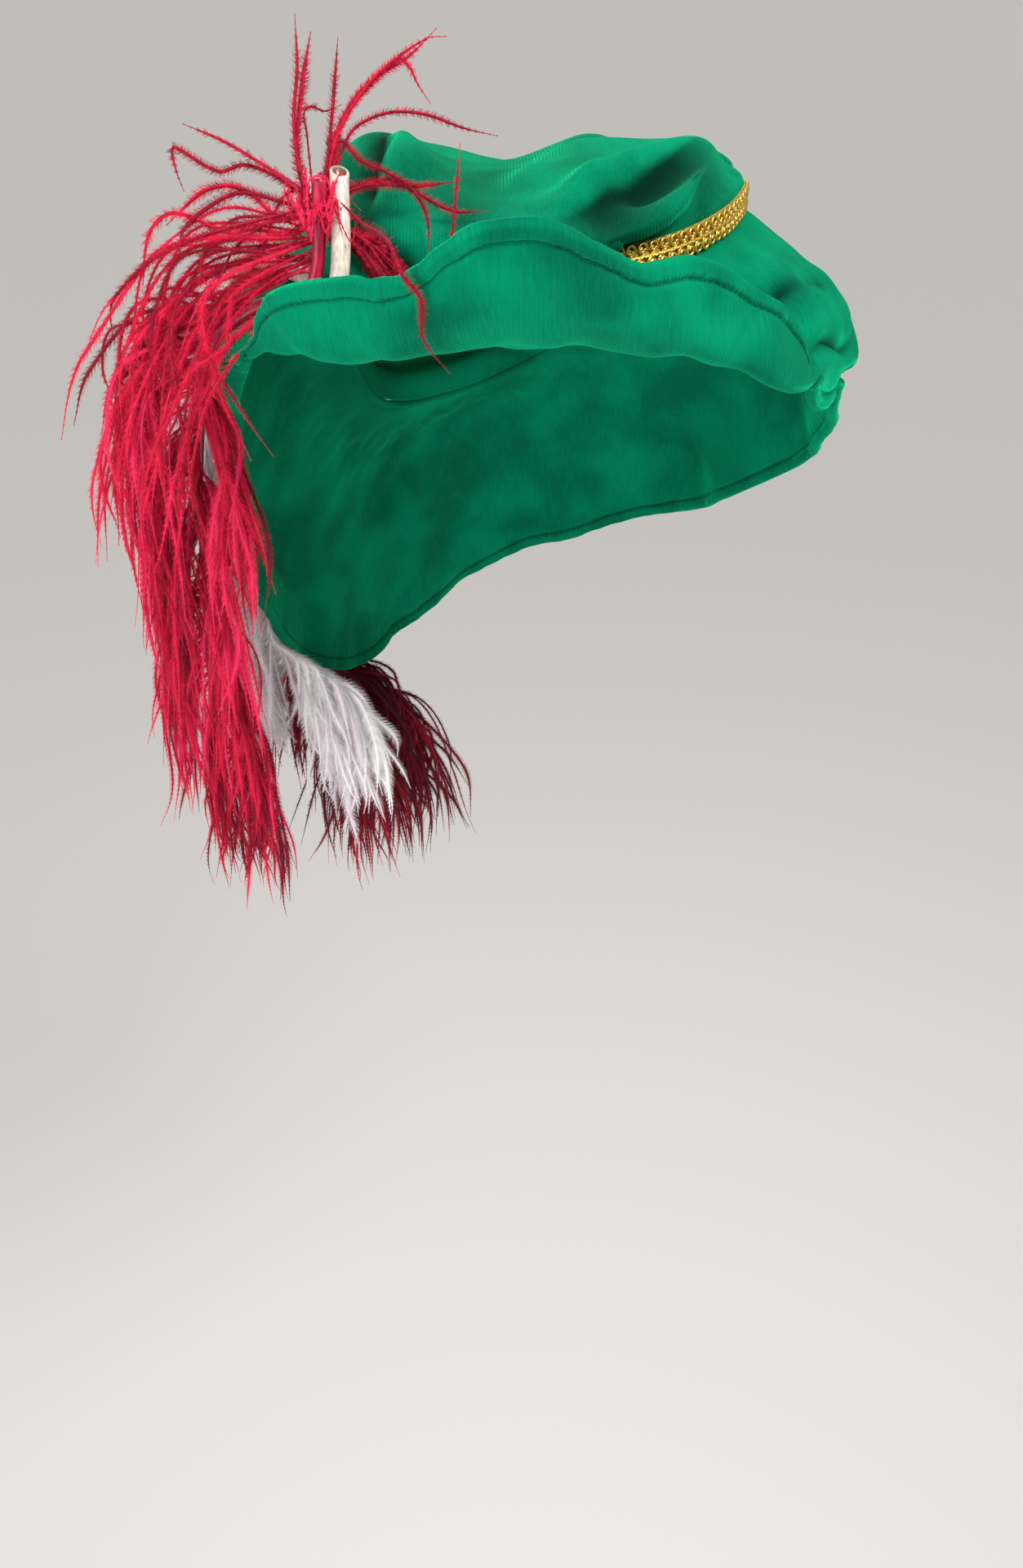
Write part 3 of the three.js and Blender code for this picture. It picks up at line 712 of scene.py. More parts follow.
@dataclass
class CrownForm:
    """The crown's outer surface, from the seam to its middle."""

    head: HeadOpening
    rise: float = 0.022
    puff: float = 0.030
    fold: float = 0.009
    gap: float = 0.0003
    braid_height: float = 0.011
    lip_rise: float = 0.0032
    middle_up: float = 0.45
    stations: tuple = (0, 0.1, 0.17, 0.27, 0.4, 0.58, 0.8, 1)
    scales: tuple = (1, 1, 1, 1, 1, 0.76, 0.4, 0)

    def runs(self, rows: tuple, grid: ndarray) -> ndarray:
        """Add up the folds of a table over the points of a grid."""
        return fold_runs(rows, grid[..., 0] / (self.head.width / 2), grid[..., 1] / (self.head.length / 2))

    def surface(self, angles: ndarray, shares: ndarray) -> ndarray:
        """Find points of the outer surface.

        Args:
            angles: Where it is read round the hat, in degrees.
            shares: Where it is read, from 0 at the seam to 1 at the middle.

        Returns:
            A grid of points, one row for each angle.
        """
        place, out, _ = self.head.seam(angles)
        base = place[:, 2] + self.gap
        band = base + self.braid_height
        shoulder = band + read_round(CROWN, "shoulder_up", angles) * self.rise
        crest = read_round(CROWN, "crest_up", angles) * self.rise
        middle = read_round(CROWN, "middle_up", angles) * self.rise
        top = np.full(len(angles), self.middle_up * self.rise)
        nothing = np.zeros(len(angles))
        push = read_round(CROWN, "shoulder_out", angles) * self.puff
        pushes = [nothing, nothing, push * 0.3, push, push * 1.1, nothing, nothing, nothing]
        heights = [base, band, band + self.lip_rise, shoulder, (shoulder + crest) / 2, crest, middle, top]
        matrix = curve_weights(np.array(self.stations), shares)
        scale = matrix @ np.array(self.scales, float)
        reach = np.stack(pushes, axis=1) @ matrix.T
        height = np.stack(heights, axis=1) @ matrix.T
        grid = place[:, None] * scale[:, None] + reach[..., None] * out[:, None]
        free = smoothstep(shares, self.stations[3], self.stations[4])
        grid[..., 2] = height + self.runs(CROWN_FOLDS, grid) * self.fold * free
        return grid


# Node trees


class Nodes:
    """A node tree, with a short call for each kind of node that is used often."""

    def __init__(self, tree: NodeTree) -> None:
        """Keep the tree."""
        self.tree = tree

    def add(self, kind: str, inputs: dict | None = None, **settings) -> Node:
        """Add a node and fill its inputs.

        Args:
            kind: The node's type.
            inputs: A value or a socket for each input, by the input's name or number.
            **settings: The node's own properties.

        Returns:
            The new node.
        """
        made = self.tree.nodes.new(kind)
        for name, value in settings.items():
            setattr(made, name, value)
        self.fill(made, inputs or {})
        return made

    def fill(self, node: Node, inputs: dict) -> None:
        """Set or connect inputs of a node."""
        for name, value in inputs.items():
            if isinstance(value, NodeSocket):
                self.tree.links.new(value, node.inputs[name])
            else:
                node.inputs[name].default_value = value

    def out(self, kind: str, inputs: dict | None = None, **settings) -> NodeSocket:
        """Add a node and give its first output."""
        return self.add(kind, inputs, **settings).outputs[0]

    def given(self) -> bpy.types.NodeOutputs:
        """Give the inputs of the group."""
        return self.add("NodeGroupInput").outputs

    def give(self, **results: NodeSocket) -> NodeTree:
        """Connect the outputs of the group, and return the group's tree."""
        self.add("NodeGroupOutput", results)
        return self.tree

    def math(self, operation: str, *values: float | NodeSocket, **settings) -> NodeSocket:
        """Work out a number from one, two or three others."""
        return self.out("ShaderNodeMath", dict(enumerate(values)), operation=operation, **settings)

    def mix(self, share: NodeSocket, first: tuple | NodeSocket, second: tuple | NodeSocket) -> NodeSocket:
        """Mix two colours."""
        return self.add("ShaderNodeMix", {0: share, 6: first, 7: second}, data_type="RGBA").outputs[2]

    def ramp(self, value: NodeSocket, low: float, high: float, bottom: float = 0.0, top: float = 1.0,
             smooth: bool = False) -> NodeSocket:
        """Carry a number from one range to another.

        Args:
            value: The number.
            low: Where the first range starts.
            high: Where it ends.
            bottom: What the low value becomes.
            top: What the high value becomes.
            smooth: True for a rise that starts and ends gently.

        Returns:
            The new number.
        """
        ends = {"Value": value, "From Min": low, "From Max": high, "To Min": bottom, "To Max": top}
        kind = "SMOOTHSTEP" if smooth else "LINEAR"
        return self.out("ShaderNodeMapRange", ends, interpolation_type=kind)

    def noise(self, place: NodeSocket, scale: float | NodeSocket, detail: float, rough: float = 0.5,
              distortion: float = 0.0) -> NodeSocket:
        """Read a noise.

        Args:
            place: Where it is read.
            scale: How many bumps it has to the unit.
            detail: How many finer layers lie over them.
            rough: How strong each finer layer is.
            distortion: How far the noise is pulled about.

        Returns:
            Its value.
        """
        return self.out("ShaderNodeTexNoise", {
            "Vector": place, "Scale": scale, "Detail": detail, "Roughness": rough, "Distortion": distortion,
        })

    def vector(self, *parts: float | NodeSocket) -> NodeSocket:
        """Put three numbers together."""
        return self.out("ShaderNodeCombineXYZ", dict(enumerate(parts)))

    def stretched(self, place: NodeSocket, by: tuple) -> NodeSocket:
        """Multiply a place by a number for each direction."""
        return self.out("ShaderNodeVectorMath", {0: place, 1: by}, operation="MULTIPLY")

    def stored(self, name: str) -> NodeSocket:
        """Read a stored number in a material."""
        return self.add("ShaderNodeAttribute", attribute_name=name).outputs["Fac"]

    def millimetres(self, name: str = "") -> NodeSocket:
        """Give the place on a piece in millimetres, from a named UV map or from Object coordinates."""
        if name:
            source = self.out("ShaderNodeUVMap", uv_map=name)
        else:
            source = self.add("ShaderNodeTexCoord").outputs["Object"]
        return self.out("ShaderNodeVectorMath", {0: source, "Scale": 1 / MILLIMETRE}, operation="SCALE")

    def bump(self, height: NodeSocket, distance: float) -> NodeSocket:
        """Turn a height into a normal."""
        return self.out("ShaderNodeBump", {"Strength": 0.6, "Distance": distance, "Height": height})

    def surface(self, inputs: dict) -> None:
        """Add a Principled shader and make it the material's surface."""
        shader = self.out("ShaderNodeBsdfPrincipled", inputs)
        self.add("ShaderNodeOutputMaterial", {"Surface": shader})

    def named(self, name: str, kind: str = "FLOAT") -> NodeSocket:
        """Read a stored value in a geometry tree."""
        return self.out("GeometryNodeInputNamedAttribute", {"Name": name}, data_type=kind)

    def random(self, least: NodeSocket, most: NodeSocket, seed: NodeSocket) -> NodeSocket:
        """Draw a number for each point."""
        draw = self.add("FunctionNodeRandomValue", {2: least, 3: most, "Seed": seed}, data_type="FLOAT")
        return draw.outputs[1]

    def aligned(self, axis: str, inputs: dict, pivot: str = "AUTO") -> NodeSocket:
        """Turn an axis towards a direction."""
        return self.out("FunctionNodeAlignRotationToVector", inputs, axis=axis, pivot_axis=pivot)

    def spun(self, rotation: NodeSocket, axis: tuple, angle: NodeSocket) -> NodeSocket:
        """Turn a rotation further about one of its own axes."""
        spin = self.out("FunctionNodeAxisAngleToRotation", {"Axis": axis, "Angle": angle})
        turned = {"Rotation": rotation, "Rotate By": spin}
        return self.out("FunctionNodeRotateRotation", turned, rotation_space="LOCAL")

    def placed(self, piece: NodeSocket, points: NodeSocket, turned: NodeSocket,
               size: NodeSocket) -> NodeSocket:
        """Put a copy of an object on each point, turned and scaled."""
        single = self.add("GeometryNodeObjectInfo", {"Object": piece, "As Instance": True})
        return self.out("GeometryNodeInstanceOnPoints", {
            "Points": points, "Instance": single.outputs["Geometry"], "Rotation": turned, "Scale": size,
        })

    def finished(self, made: NodeSocket, finish: NodeSocket) -> NodeTree:
        """Make the copies real, set the material and return the group's tree."""
        real = self.out("GeometryNodeRealizeInstances", {0: made})
        dressed = self.out("GeometryNodeSetMaterial", {0: real, "Material": finish})
        return self.give(Made=dressed)


def new_group(name: str, kind: str, inputs: tuple, outputs: tuple) -> Nodes:
    """Start a node group with named inputs and outputs.

    Args:
        name: The group's name.
        kind: The type of its tree.
        inputs: The name and kind of each input, and its usual value where it has one.
        outputs: The name and kind of each output.

    Returns:
        The group.
    """
    tree = bpy.data.node_groups.new(name, kind)
    for label, value_kind, *usual in inputs:
        made = tree.interface.new_socket(label, in_out="INPUT", socket_type="NodeSocket" + value_kind)
        if usual:
            made.default_value = usual[0]
    for label, value_kind in outputs:
        tree.interface.new_socket(label, in_out="OUTPUT", socket_type="NodeSocket" + value_kind)
    return Nodes(tree)


def new_material(name: str) -> tuple:
    """Make a material with an empty node tree, and return both."""
    made = bpy.data.materials.new(name)
    made.use_nodes = True
    made.node_tree.nodes.clear()
    return made, Nodes(made.node_tree)


def rgb(red: int, green: int, blue: int) -> tuple:
    """Turn a screen colour from 0 to 255 into a linear colour with full opacity."""
    def linear(value: int) -> float:
        share = value / 255
        return share / 12.92 if share <= 0.04045 else ((share + 0.055) / 1.055) ** 2.4
    return (linear(red), linear(green), linear(blue), 1.0)


def brushed_pile_group() -> NodeTree:
    """Build the group that colours and roughens cut pile, in patches that lean different ways.

    Returns:
        The group, which takes places in millimetres and gives a colour and a height.
    """
    nodes = new_group("brushed pile", "ShaderNodeTree", (
        ("Place", "Vector"),
        ("Weave", "Vector"),
        ("Deep", "Color", (0, 0, 0, 1)),
        ("Lit", "Color", (1, 1, 1, 1)),
        ("Patch size", "Float", 26.0),
        ("Rib pitch", "Float", 1.2),
        ("Rib depth", "Float", 0.35),
    ), (("Colour", "Color"), ("Height", "Float")))
    given = nodes.given()
    patches = nodes.noise(given["Place"], nodes.math("DIVIDE", 1.0, given["Patch size"]), 2.0, 0.45, 0.4)
    lean = nodes.ramp(patches, 0.3, 0.7, smooth=True)
    streaks = nodes.noise(nodes.stretched(given["Weave"], (0.9, 0.12, 0.9)), 1.0, 4.0, 0.7)
    shift = nodes.ramp(streaks, 0.3, 0.7, -0.3, 0.3)
    colour = nodes.mix(nodes.math("ADD", lean, shift, use_clamp=True), given["Deep"], given["Lit"])
    ribs = nodes.add("ShaderNodeTexWave", {
        "Vector": given["Weave"],
        "Scale": nodes.math("DIVIDE", 0.314, given["Rib pitch"]),
        "Distortion": 1.6,
        "Detail": 2.0,
        "Detail Scale": 0.6,
    }, bands_direction="X")
    rib_height = nodes.math("MULTIPLY", ribs.outputs["Fac"], given["Rib depth"])
    tufts = nodes.noise(given["Place"], 1.4, 3.0, 0.65)
    return nodes.give(Colour=colour, Height=nodes.math("ADD", rib_height, tufts))


def dyed_barb_group() -> NodeTree:
    """Build the group that colours a barb: its own shade, streaks that follow the barbules, a dark rib and
    painted shade towards its root.

    Returns:
        The group, which gives a colour.
    """
    nodes = new_group("dyed barb", "ShaderNodeTree", (
        ("Shade", "Float", 0.5),
        ("Along", "Float", 0.5),
        ("Side", "Float", 0.0),
        ("Reach", "Float", 0.0),
        ("Dark", "Color", (0, 0, 0, 1)),
        ("Middle", "Color", (0.5, 0.5, 0.5, 1)),
        ("Light", "Color", (1, 1, 1, 1)),
    ), (("Colour", "Color"),))
    given = nodes.given()
    aside = nodes.math("ABSOLUTE", given["Side"])
    slanted = nodes.math("MULTIPLY_ADD", aside, -1.6, given["Reach"])
    where = nodes.vector(slanted, given["Side"], nodes.math("MULTIPLY", given["Shade"], 90.0))
    streak = nodes.ramp(nodes.noise(where, 1.1, 2.0), 0.3, 0.7, -0.3, 0.3)
    tint = nodes.math("ADD", given["Shade"], streak)
    first = nodes.mix(nodes.ramp(tint, 0.0, 0.5), given["Dark"], given["Middle"])
    second = nodes.mix(nodes.ramp(tint, 0.5, 1.0), first, given["Light"])
    rib = nodes.ramp(aside, 0.06, 0.26, 0.4, 0.0)
    # Painted shade: the barb darkens towards its root, deep in the plume.
    root_shade = nodes.ramp(given["Along"], 0.0, 0.2, 0.25, 0.0)
    return nodes.give(Colour=nodes.mix(nodes.math("MAXIMUM", rib, root_shade), second, given["Dark"]))


class Coordinates(Enum):
    """Where a cloth's pattern comes from."""

    FLAT = ""
    SURFACE = "cloth"


@dataclass(frozen=True)
class VelvetFinish:
    """Cut velvet: a deep ground, a lit pile that leans in patches, a faint rib, a strong sheen and painted
    shade in its folds and creases.
    """

    name: str
    group: NodeTree
    pattern: Coordinates
    deep: tuple = rgb(0, 98, 70)
    lit: tuple = rgb(0, 134, 96)
    # The colour of the painted shade that darkens the pile in folds and creases.
    shadow: tuple = rgb(0, 26, 18)
    crushed: tuple = rgb(0, 70, 48)
    tint: tuple = rgb(20, 235, 165)
    patch_size: float = 34.0
    rib_pitch: float = 1.2
    sheen: float = 0.85
    hemmed: bool = False
    hem_line: float = 6.5

    def material(self) -> Material:
        """Build the material."""
        made, nodes = new_material(self.name)
        weave = nodes.millimetres(self.pattern.value)
        pile = nodes.add("ShaderNodeGroup", node_tree=self.group)
        given = {
            "Place": nodes.millimetres(), "Weave": weave, "Deep": self.deep, "Lit": self.lit,
            "Patch size": self.patch_size, "Rib pitch": self.rib_pitch,
        }
        nodes.fill(pile, given)
        # Painted shade: the stored shade darkens the pile towards the shadow colour and takes its sheen
        # away.
        shade = nodes.stored("shade")
        colour = nodes.mix(shade, pile.outputs["Colour"], self.shadow)
        height = pile.outputs["Height"]
        if self.hemmed:
            colour, height = self.hem(nodes, weave, colour, height)
        nodes.surface({
            "Base Color": colour,
            "Roughness": 0.9,
            "Specular IOR Level": 0.04,
            "Sheen Weight": nodes.ramp(shade, 0.0, 1.0, self.sheen, 0.0),
            "Sheen Roughness": 0.28,
            "Sheen Tint": self.tint,
            "Normal": nodes.bump(height, 0.0005),
        })
        return made

    def hem(self, nodes: Nodes, weave: NodeSocket, colour: NodeSocket, height: NodeSocket) -> tuple:
        """Add the hem: crushed pile along the stitches and small ribs across the rolled edge.

        Args:
            nodes: The material's tree.
            weave: The place on the cloth in millimetres.
            colour: The cloth's colour.
            height: The cloth's height.

        Returns:
            The changed colour and height.
        """
        inset = nodes.stored("edge_distance")
        rolled = nodes.ramp(inset, 5.0, 7.5, 1.0, 0.0, smooth=True)
        near_line = nodes.math("ABSOLUTE", nodes.math("SUBTRACT", inset, self.hem_line))
        crushed = nodes.ramp(near_line, 0.3, 1.3, 0.55, 0.0, smooth=True)
        ribs = nodes.noise(nodes.stretched(weave, (0.55, 0.12, 1.0)), 1.0, 2.0)
        raised = nodes.math("MULTIPLY_ADD", nodes.math("MULTIPLY", ribs, rolled), 2.4, height)
        return nodes.mix(crushed, colour, self.crushed), raised


@dataclass(frozen=True)
class BraidFinish:
    """Gilt thread wound round cord."""

    name: str
    base: tuple = rgb(196, 150, 44)
    bright: tuple = rgb(246, 214, 110)
    roughness: float = 0.32

    def material(self) -> Material:
        """Build the material."""
        made, nodes = new_material(self.name)
        winding = nodes.noise(nodes.millimetres(), 2.2, 2.0)
        nodes.surface({
            "Base Color": nodes.mix(nodes.ramp(winding, 0.35, 0.65), self.base, self.bright),
            "Metallic": 0.85,
            "Roughness": self.roughness,
            "Normal": nodes.bump(winding, 0.0002),
        })
        return made


@dataclass(frozen=True)
class BarbFinish:
    """Dyed barbs and barbules: three tones, partly the dye's own range and partly painted light and shade
    between the strands, and a soft sheen.
    """

    name: str
    group: NodeTree
    dark: tuple
    middle: tuple
    light: tuple
    sheen: tuple

    def material(self) -> Material:
        """Build the material."""
        made, nodes = new_material(self.name)
        given = {name.capitalize(): nodes.stored(name) for name in ("shade", "along", "side", "reach")}
        tones = {"Dark": self.dark, "Middle": self.middle, "Light": self.light}
        dye = nodes.add("ShaderNodeGroup", node_tree=self.group)
        nodes.fill(dye, given | tones)
        nodes.surface({
            "Base Color": dye.outputs["Colour"],
            "Roughness": 0.62,
            "Specular IOR Level": 0.18,
            "Sheen Weight": 0.1,
            "Sheen Roughness": 0.4,
            "Sheen Tint": self.sheen,
        })
        return made


@dataclass(frozen=True)
class QuillFinish:
    """The smooth shaft of a plume, streaked along its length, and dull brown inside a cut end."""

    name: str
    pale: tuple
    streak: tuple
    hollow: tuple = rgb(120, 84, 60)

    def material(self) -> Material:
        """Build the material."""
        made, nodes = new_material(self.name)
        streaks = nodes.noise(nodes.stretched(nodes.millimetres(), (1.2, 1.2, 0.08)), 1.0, 3.0)
        colour = nodes.mix(nodes.ramp(streaks, 0.35, 0.65), self.streak, self.pale)
        nodes.surface({
            "Base Color": nodes.mix(nodes.stored("hollow"), colour, self.hollow),
            "Roughness": 0.28,
            "Coat Weight": 0.3,
            "Coat Roughness": 0.2,
        })
        return made


# Geometry Nodes for what repeats


def repeat_tree() -> NodeTree:
    """Build the tree that repeats a small piece along a line, such as stitches or the loops of braid.

    Returns:
        The tree. Its line carries an outward direction and a turn at each point.
    """
    nodes = new_group("repeat along a line", "GeometryNodeTree", (
        ("Line", "Geometry"),
        ("Piece", "Object"),
        ("Pitch", "Float", 0.004),
        ("Turn jitter", "Float", 0.1),
        ("Size jitter", "Float", 0.1),
        ("Seed", "Int", 1),
        ("Finish", "Material"),
    ), (("Made", "Geometry"),))
    given = nodes.given()
    curve = nodes.out("GeometryNodeMeshToCurve", {0: given["Line"]})
    points = nodes.add("GeometryNodeCurveToPoints", {0: curve, "Length": given["Pitch"]}, mode="LENGTH")
    facing = nodes.aligned("Z", {"Vector": nodes.named("outward", "FLOAT_VECTOR")})
    running = nodes.aligned("X", {"Rotation": facing, "Vector": points.outputs["Tangent"]}, "Z")
    least = nodes.math("MULTIPLY", given["Turn jitter"], -1.0)
    jitter = nodes.random(least, given["Turn jitter"], given["Seed"])
    turned = nodes.spun(running, (0, 0, 1), nodes.math("ADD", nodes.named("turn"), jitter))
    smaller = nodes.math("SUBTRACT", 1.0, given["Size jitter"])
    larger = nodes.math("ADD", 1.0, given["Size jitter"])
    size = nodes.random(smaller, larger, given["Seed"])
    placed = nodes.placed(given["Piece"], points.outputs[0], turned, size)
    return nodes.finished(placed, given["Finish"])


def barb_tree() -> NodeTree:
    """Build the tree that turns lines into barbs: a flat vane with tufts of barbules at its sides.

    Returns:
        The tree. Its lines carry a facing and a breadth, and a shade, a reach and a share along for the dye.
    """
    nodes = new_group("barbs with barbules", "GeometryNodeTree", (
        ("Lines", "Geometry"),
        ("Tuft", "Object"),
        ("Tuft pitch", "Float", 0.0024),
        ("Tuft size", "Float", 1.0),
        ("Vane width", "Float", 0.0016),
        ("Vane depth", "Float", 0.0005),
        ("Roll", "Float", 0.5),
        ("Seed", "Int", 1),
        ("Finish", "Material"),
    ), (("Made", "Geometry"),))
    given = nodes.given()
    facing = nodes.named("facing", "FLOAT_VECTOR")
    breadth = nodes.named("breadth")
    curve = nodes.out("GeometryNodeMeshToCurve", {0: given["Lines"]})
    laid = nodes.out("GeometryNodeSetCurveNormal", {"Curve": curve, "Normal": facing}, mode="FREE")
    circle = nodes.out("GeometryNodeCurvePrimitiveCircle", {"Resolution": 6, "Radius": 0.5})
    spot = nodes.add("ShaderNodeSeparateXYZ", {0: nodes.out("GeometryNodeInputPosition")})
    side = nodes.math("MULTIPLY", spot.outputs[1], 2.0)
    marked = nodes.out("GeometryNodeStoreNamedAttribute", {
        "Geometry": circle, "Name": "side", "Value": side,
    }, data_type="FLOAT", domain="POINT")
    flat = nodes.vector(given["Vane depth"], given["Vane width"], 1.0)
    profile = nodes.out("GeometryNodeTransform", {0: marked, "Scale": flat})
    vane = nodes.out("GeometryNodeCurveToMesh", {
        0: laid, "Profile Curve": profile, "Scale": breadth, "Fill Caps": True,
    })
    points = nodes.add("GeometryNodeCurveToPoints", {0: laid, "Length": given["Tuft pitch"]}, mode="LENGTH")
    roll = nodes.random(nodes.math("MULTIPLY", given["Roll"], -1.0), given["Roll"], given["Seed"])
    running = nodes.aligned("X", {"Vector": points.outputs["Tangent"]})
    levelled = nodes.aligned("Z", {"Rotation": running, "Vector": facing}, "X")
    turned = nodes.spun(levelled, (1, 0, 0), roll)
    size = nodes.math("MULTIPLY", breadth, given["Tuft size"])
    placed = nodes.placed(given["Tuft"], points.outputs[0], turned, size)
    both = nodes.add("GeometryNodeJoinGeometry")
    for part in (vane, placed):
        nodes.tree.links.new(part, both.inputs[0])
    return nodes.finished(both.outputs[0], given["Finish"])


def realise(name: str, guide: Object, tree: NodeTree, values: dict) -> Object:
    """Run a tree on a guide and keep the result as a plain mesh.

    Args:
        name: The name of the result.
        guide: The object with the guide lines, which is removed.
        tree: The Geometry Nodes tree.
        values: The tree's inputs by name.

    Returns:
        The object with the finished mesh.
    """
    modifier = guide.modifiers.new(name, "NODES")
    modifier.node_group = tree
    for item in tree.interface.items_tree:
        if item.in_out == "INPUT" and item.name in values:
            modifier[item.identifier] = values[item.name]
    depsgraph = bpy.context.evaluated_depsgraph_get()
    depsgraph.update()
    mesh = bpy.data.meshes.new_from_object(guide.evaluated_get(depsgraph))
    guide.modifiers.remove(modifier)
    bpy.data.objects.remove(guide)
    mesh.name = name
    return add_object(name, mesh)


def line_object(name: str, lines: list, closed: bool = False) -> Object:
    """Make an object of plain lines.

    Args:
        name: The object's name.
        lines: The points of each line.
        closed: True if each line ends where it starts.

    Returns:
        The object, with its points in the order given.
    """
    edges = []
    start = 0
    for line in lines:
        count = len(line)
        edges += [(start + i, start + i + 1) for i in range(count - 1)]
        if closed:
            edges.append((start + count - 1, start))
        start += count
    mesh = bpy.data.meshes.new(name)
    mesh.from_pydata(np.concatenate(lines).tolist(), edges, [])
    return add_object(name, mesh)


def set_direction(made: Object, name: str, values: ndarray) -> None:
    """Store a direction for each point of a mesh."""
    attribute = made.data.attributes.new(name, "FLOAT_VECTOR", "POINT")
    attribute.data.foreach_set("vector", np.asarray(values, np.float32).ravel())


def tube(path: ndarray, radii: ndarray, sides: int) -> tuple:
    """Make a tube with closed ends along a path, which may turn back on itself inside a cut end.

    Args:
        path: The middles of its sections.
        radii: The radius of each section.
        sides: The number of sides.

    Returns:
        The points and the faces.
    """
    ahead = unit(path[-1] - path[0])
    tangents = unit(np.gradient(path, axis=0))
    tangents = np.where((tangents @ ahead)[:, None] < 0, -tangents, tangents)
    across = unit(np.cross(tangents[0], np.array([0.0, 1.0, 0.1])))
    points = []
    for middle, tangent, radius in zip(path, tangents, radii):
        across = unit(across - tangent * (across @ tangent))
        points.append(middle + radius * ring(sides, across, np.cross(across, tangent)))
    points = np.concatenate(points + [path[:1], path[-1:]])
    faces = []
    first = len(path) * sides
    for j in range(sides):
        k = (j + 1) % sides
        faces.append((first, j, k))
        faces.append((first + 1, first - sides + k, first - sides + j))
        for here in range(0, first - sides, sides):
            faces.append((here + j, here + sides + j, here + sides + k, here + k))
    return points, faces


# The sub-assemblies


@dataclass
class Brim:
    """The soft brim: two layers of velvet bagged out, hemmed and topstitched along the edge."""

    form: BrimForm
    finish: VelvetFinish
    thread: VelvetFinish
    steps_around: int = 640
    body_steps: int = 44
    hem_steps: int = 24
    hem_share: float = 0.88
    stitch_inset: float = 0.0065
    rolled_half: float = 0.0021
    pinched_half: float = 0.0009
    stitch_length: float = 0.0024
    stitch_pitch: float = 0.0034
    stitch_radius: float = 0.00028
    stitch_jitter: float = 0.12
    roll_starts: float = 0.0045
    pinch_width: float = 0.0011
    wave_slopes: tuple = (0.5, -0.6)

    def angles(self) -> ndarray:
        """Give the angles of the sections, from the back."""
        return FULL_TURN / 2 + even_angles(self.steps_around)

    def shares(self) -> ndarray:
        """Give the shares of the brim's width, closer together in the hem."""
        start = self.form.stations[1]
        body = np.linspace(start, self.hem_share, self.body_steps)
        hem = np.linspace(self.hem_share, 1, self.hem_steps)
        return np.concatenate([[0.0], body, hem[1:]])

    def middle(self) -> tuple:
        """Lay the soft waves over the middle surface.

        Returns:
            The grid of points, its normals and the distance from the edge at each point.
        """
        angles = self.angles()
        shares = self.shares()
        grid = self.form.surface(angles, shares)
        normals = grid_normals(grid)
        across = grid[..., 0] + self.wave_slopes[0] * grid[..., 2]
        along = grid[..., 1] + self.wave_slopes[1] * grid[..., 2]
        lift = sum(waves.heights(across, along, shares) for waves in BRIM_WAVES) + self.creases("push")
        grid = grid + normals * lift[..., None]
        normals = grid_normals(grid)
        steps = np.linalg.norm(np.diff(grid, axis=1), axis=2)
        reach = np.cumsum(steps[:, ::-1], axis=1)[:, ::-1]
        distance = np.concatenate([reach, np.zeros((len(angles), 1))], axis=1)
        normals[:, :2] = (0, 0, 1)
        return grid, normals, distance

    def creases(self, column: str) -> ndarray:
        """Add up a column of the creases over the brim's grid."""
        angles = self.angles()
        shares = self.shares()
        return sum(getattr(row, column) * near_place(row, angles, shares) for row in BRIM_CREASES)

    def half_wall(self, distance: ndarray) -> ndarray:
        """Give half the thickness of the cloth at a distance from the edge."""
        plain = self.form.wall / 2
        roll_ends = self.stitch_inset + MILLIMETRE
        rolled = (self.rolled_half - plain) * (1 - smoothstep(distance, self.roll_starts, roll_ends))
        from_line = (distance - self.stitch_inset) / self.pinch_width
        pinch = np.exp(-(from_line**2)) * (plain - self.pinched_half)
        edge = np.clip(distance / self.rolled_half, 0, 1)
        return (plain + rolled - pinch) * np.sqrt(1 - (1 - edge) ** 2)

    def build(self) -> Object:
        """Build the brim's closed wall."""
        grid, normals, distance = self.middle()
        half = self.half_wall(distance)[..., None]
        upper = grid + normals * half
        lower = grid - normals * half
        points = np.concatenate([lower[:, :-1], grid[:, -1:], upper[:, -2::-1]], axis=1)
        size = points.shape[1]
        faces = round_faces(self.steps_around, size)
        made = mesh_object("brim_cloth", points, faces, self.finish.material())
        around = np.linalg.norm(np.roll(grid, -1, axis=0) - grid, axis=2)[:, self.body_steps // 2]
        u = np.cumsum(around)[:, None] * np.ones(size)
        v = np.concatenate([distance[:, :-1], distance[:, -1:], -distance[:, -2::-1]], axis=1)
        set_uv(made, u, v)
        set_attribute(made, "edge_distance", np.abs(v) / MILLIMETRE)
        # Painted shade along the brim's creases, on both of its faces.
        shade = self.creases("dark")
        set_attribute(made, "shade", np.concatenate([shade, shade[:, -2::-1]], axis=1))
        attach(made, BODY)
        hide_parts("brim")
        return made

    def stitches(self, tree: NodeTree) -> Object:
        """Sew the topstitches on both faces.

        Args:
            tree: The tree that repeats a piece along a line.

        Returns:
            The stitches.
        """
        grid, normals, distance = self.middle()
        rows = np.arange(len(grid))
        nearest = np.argmin(np.abs(distance - self.stitch_inset), axis=1)
        middle = grid[rows, nearest]
        outward = normals[rows, nearest]
        lift = self.pinched_half + self.stitch_radius * 0.4
        lines = [middle + outward * lift, middle - outward * lift]
        guide = line_object("stitch_line", lines, closed=True)
        set_direction(guide, "outward", np.concatenate([outward, -outward]))
        set_attribute(guide, "turn", np.zeros(2 * len(grid)))
        piece = self.stitch()
        made = realise("brim_topstitch", guide, tree, {
            "Piece": piece,
            "Pitch": self.stitch_pitch,
            "Turn jitter": self.stitch_jitter,
            "Size jitter": self.stitch_jitter,
            "Seed": 5,
            "Finish": self.thread.material(),
        })
        bpy.data.objects.remove(piece)
        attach(made, BODY)
        return made

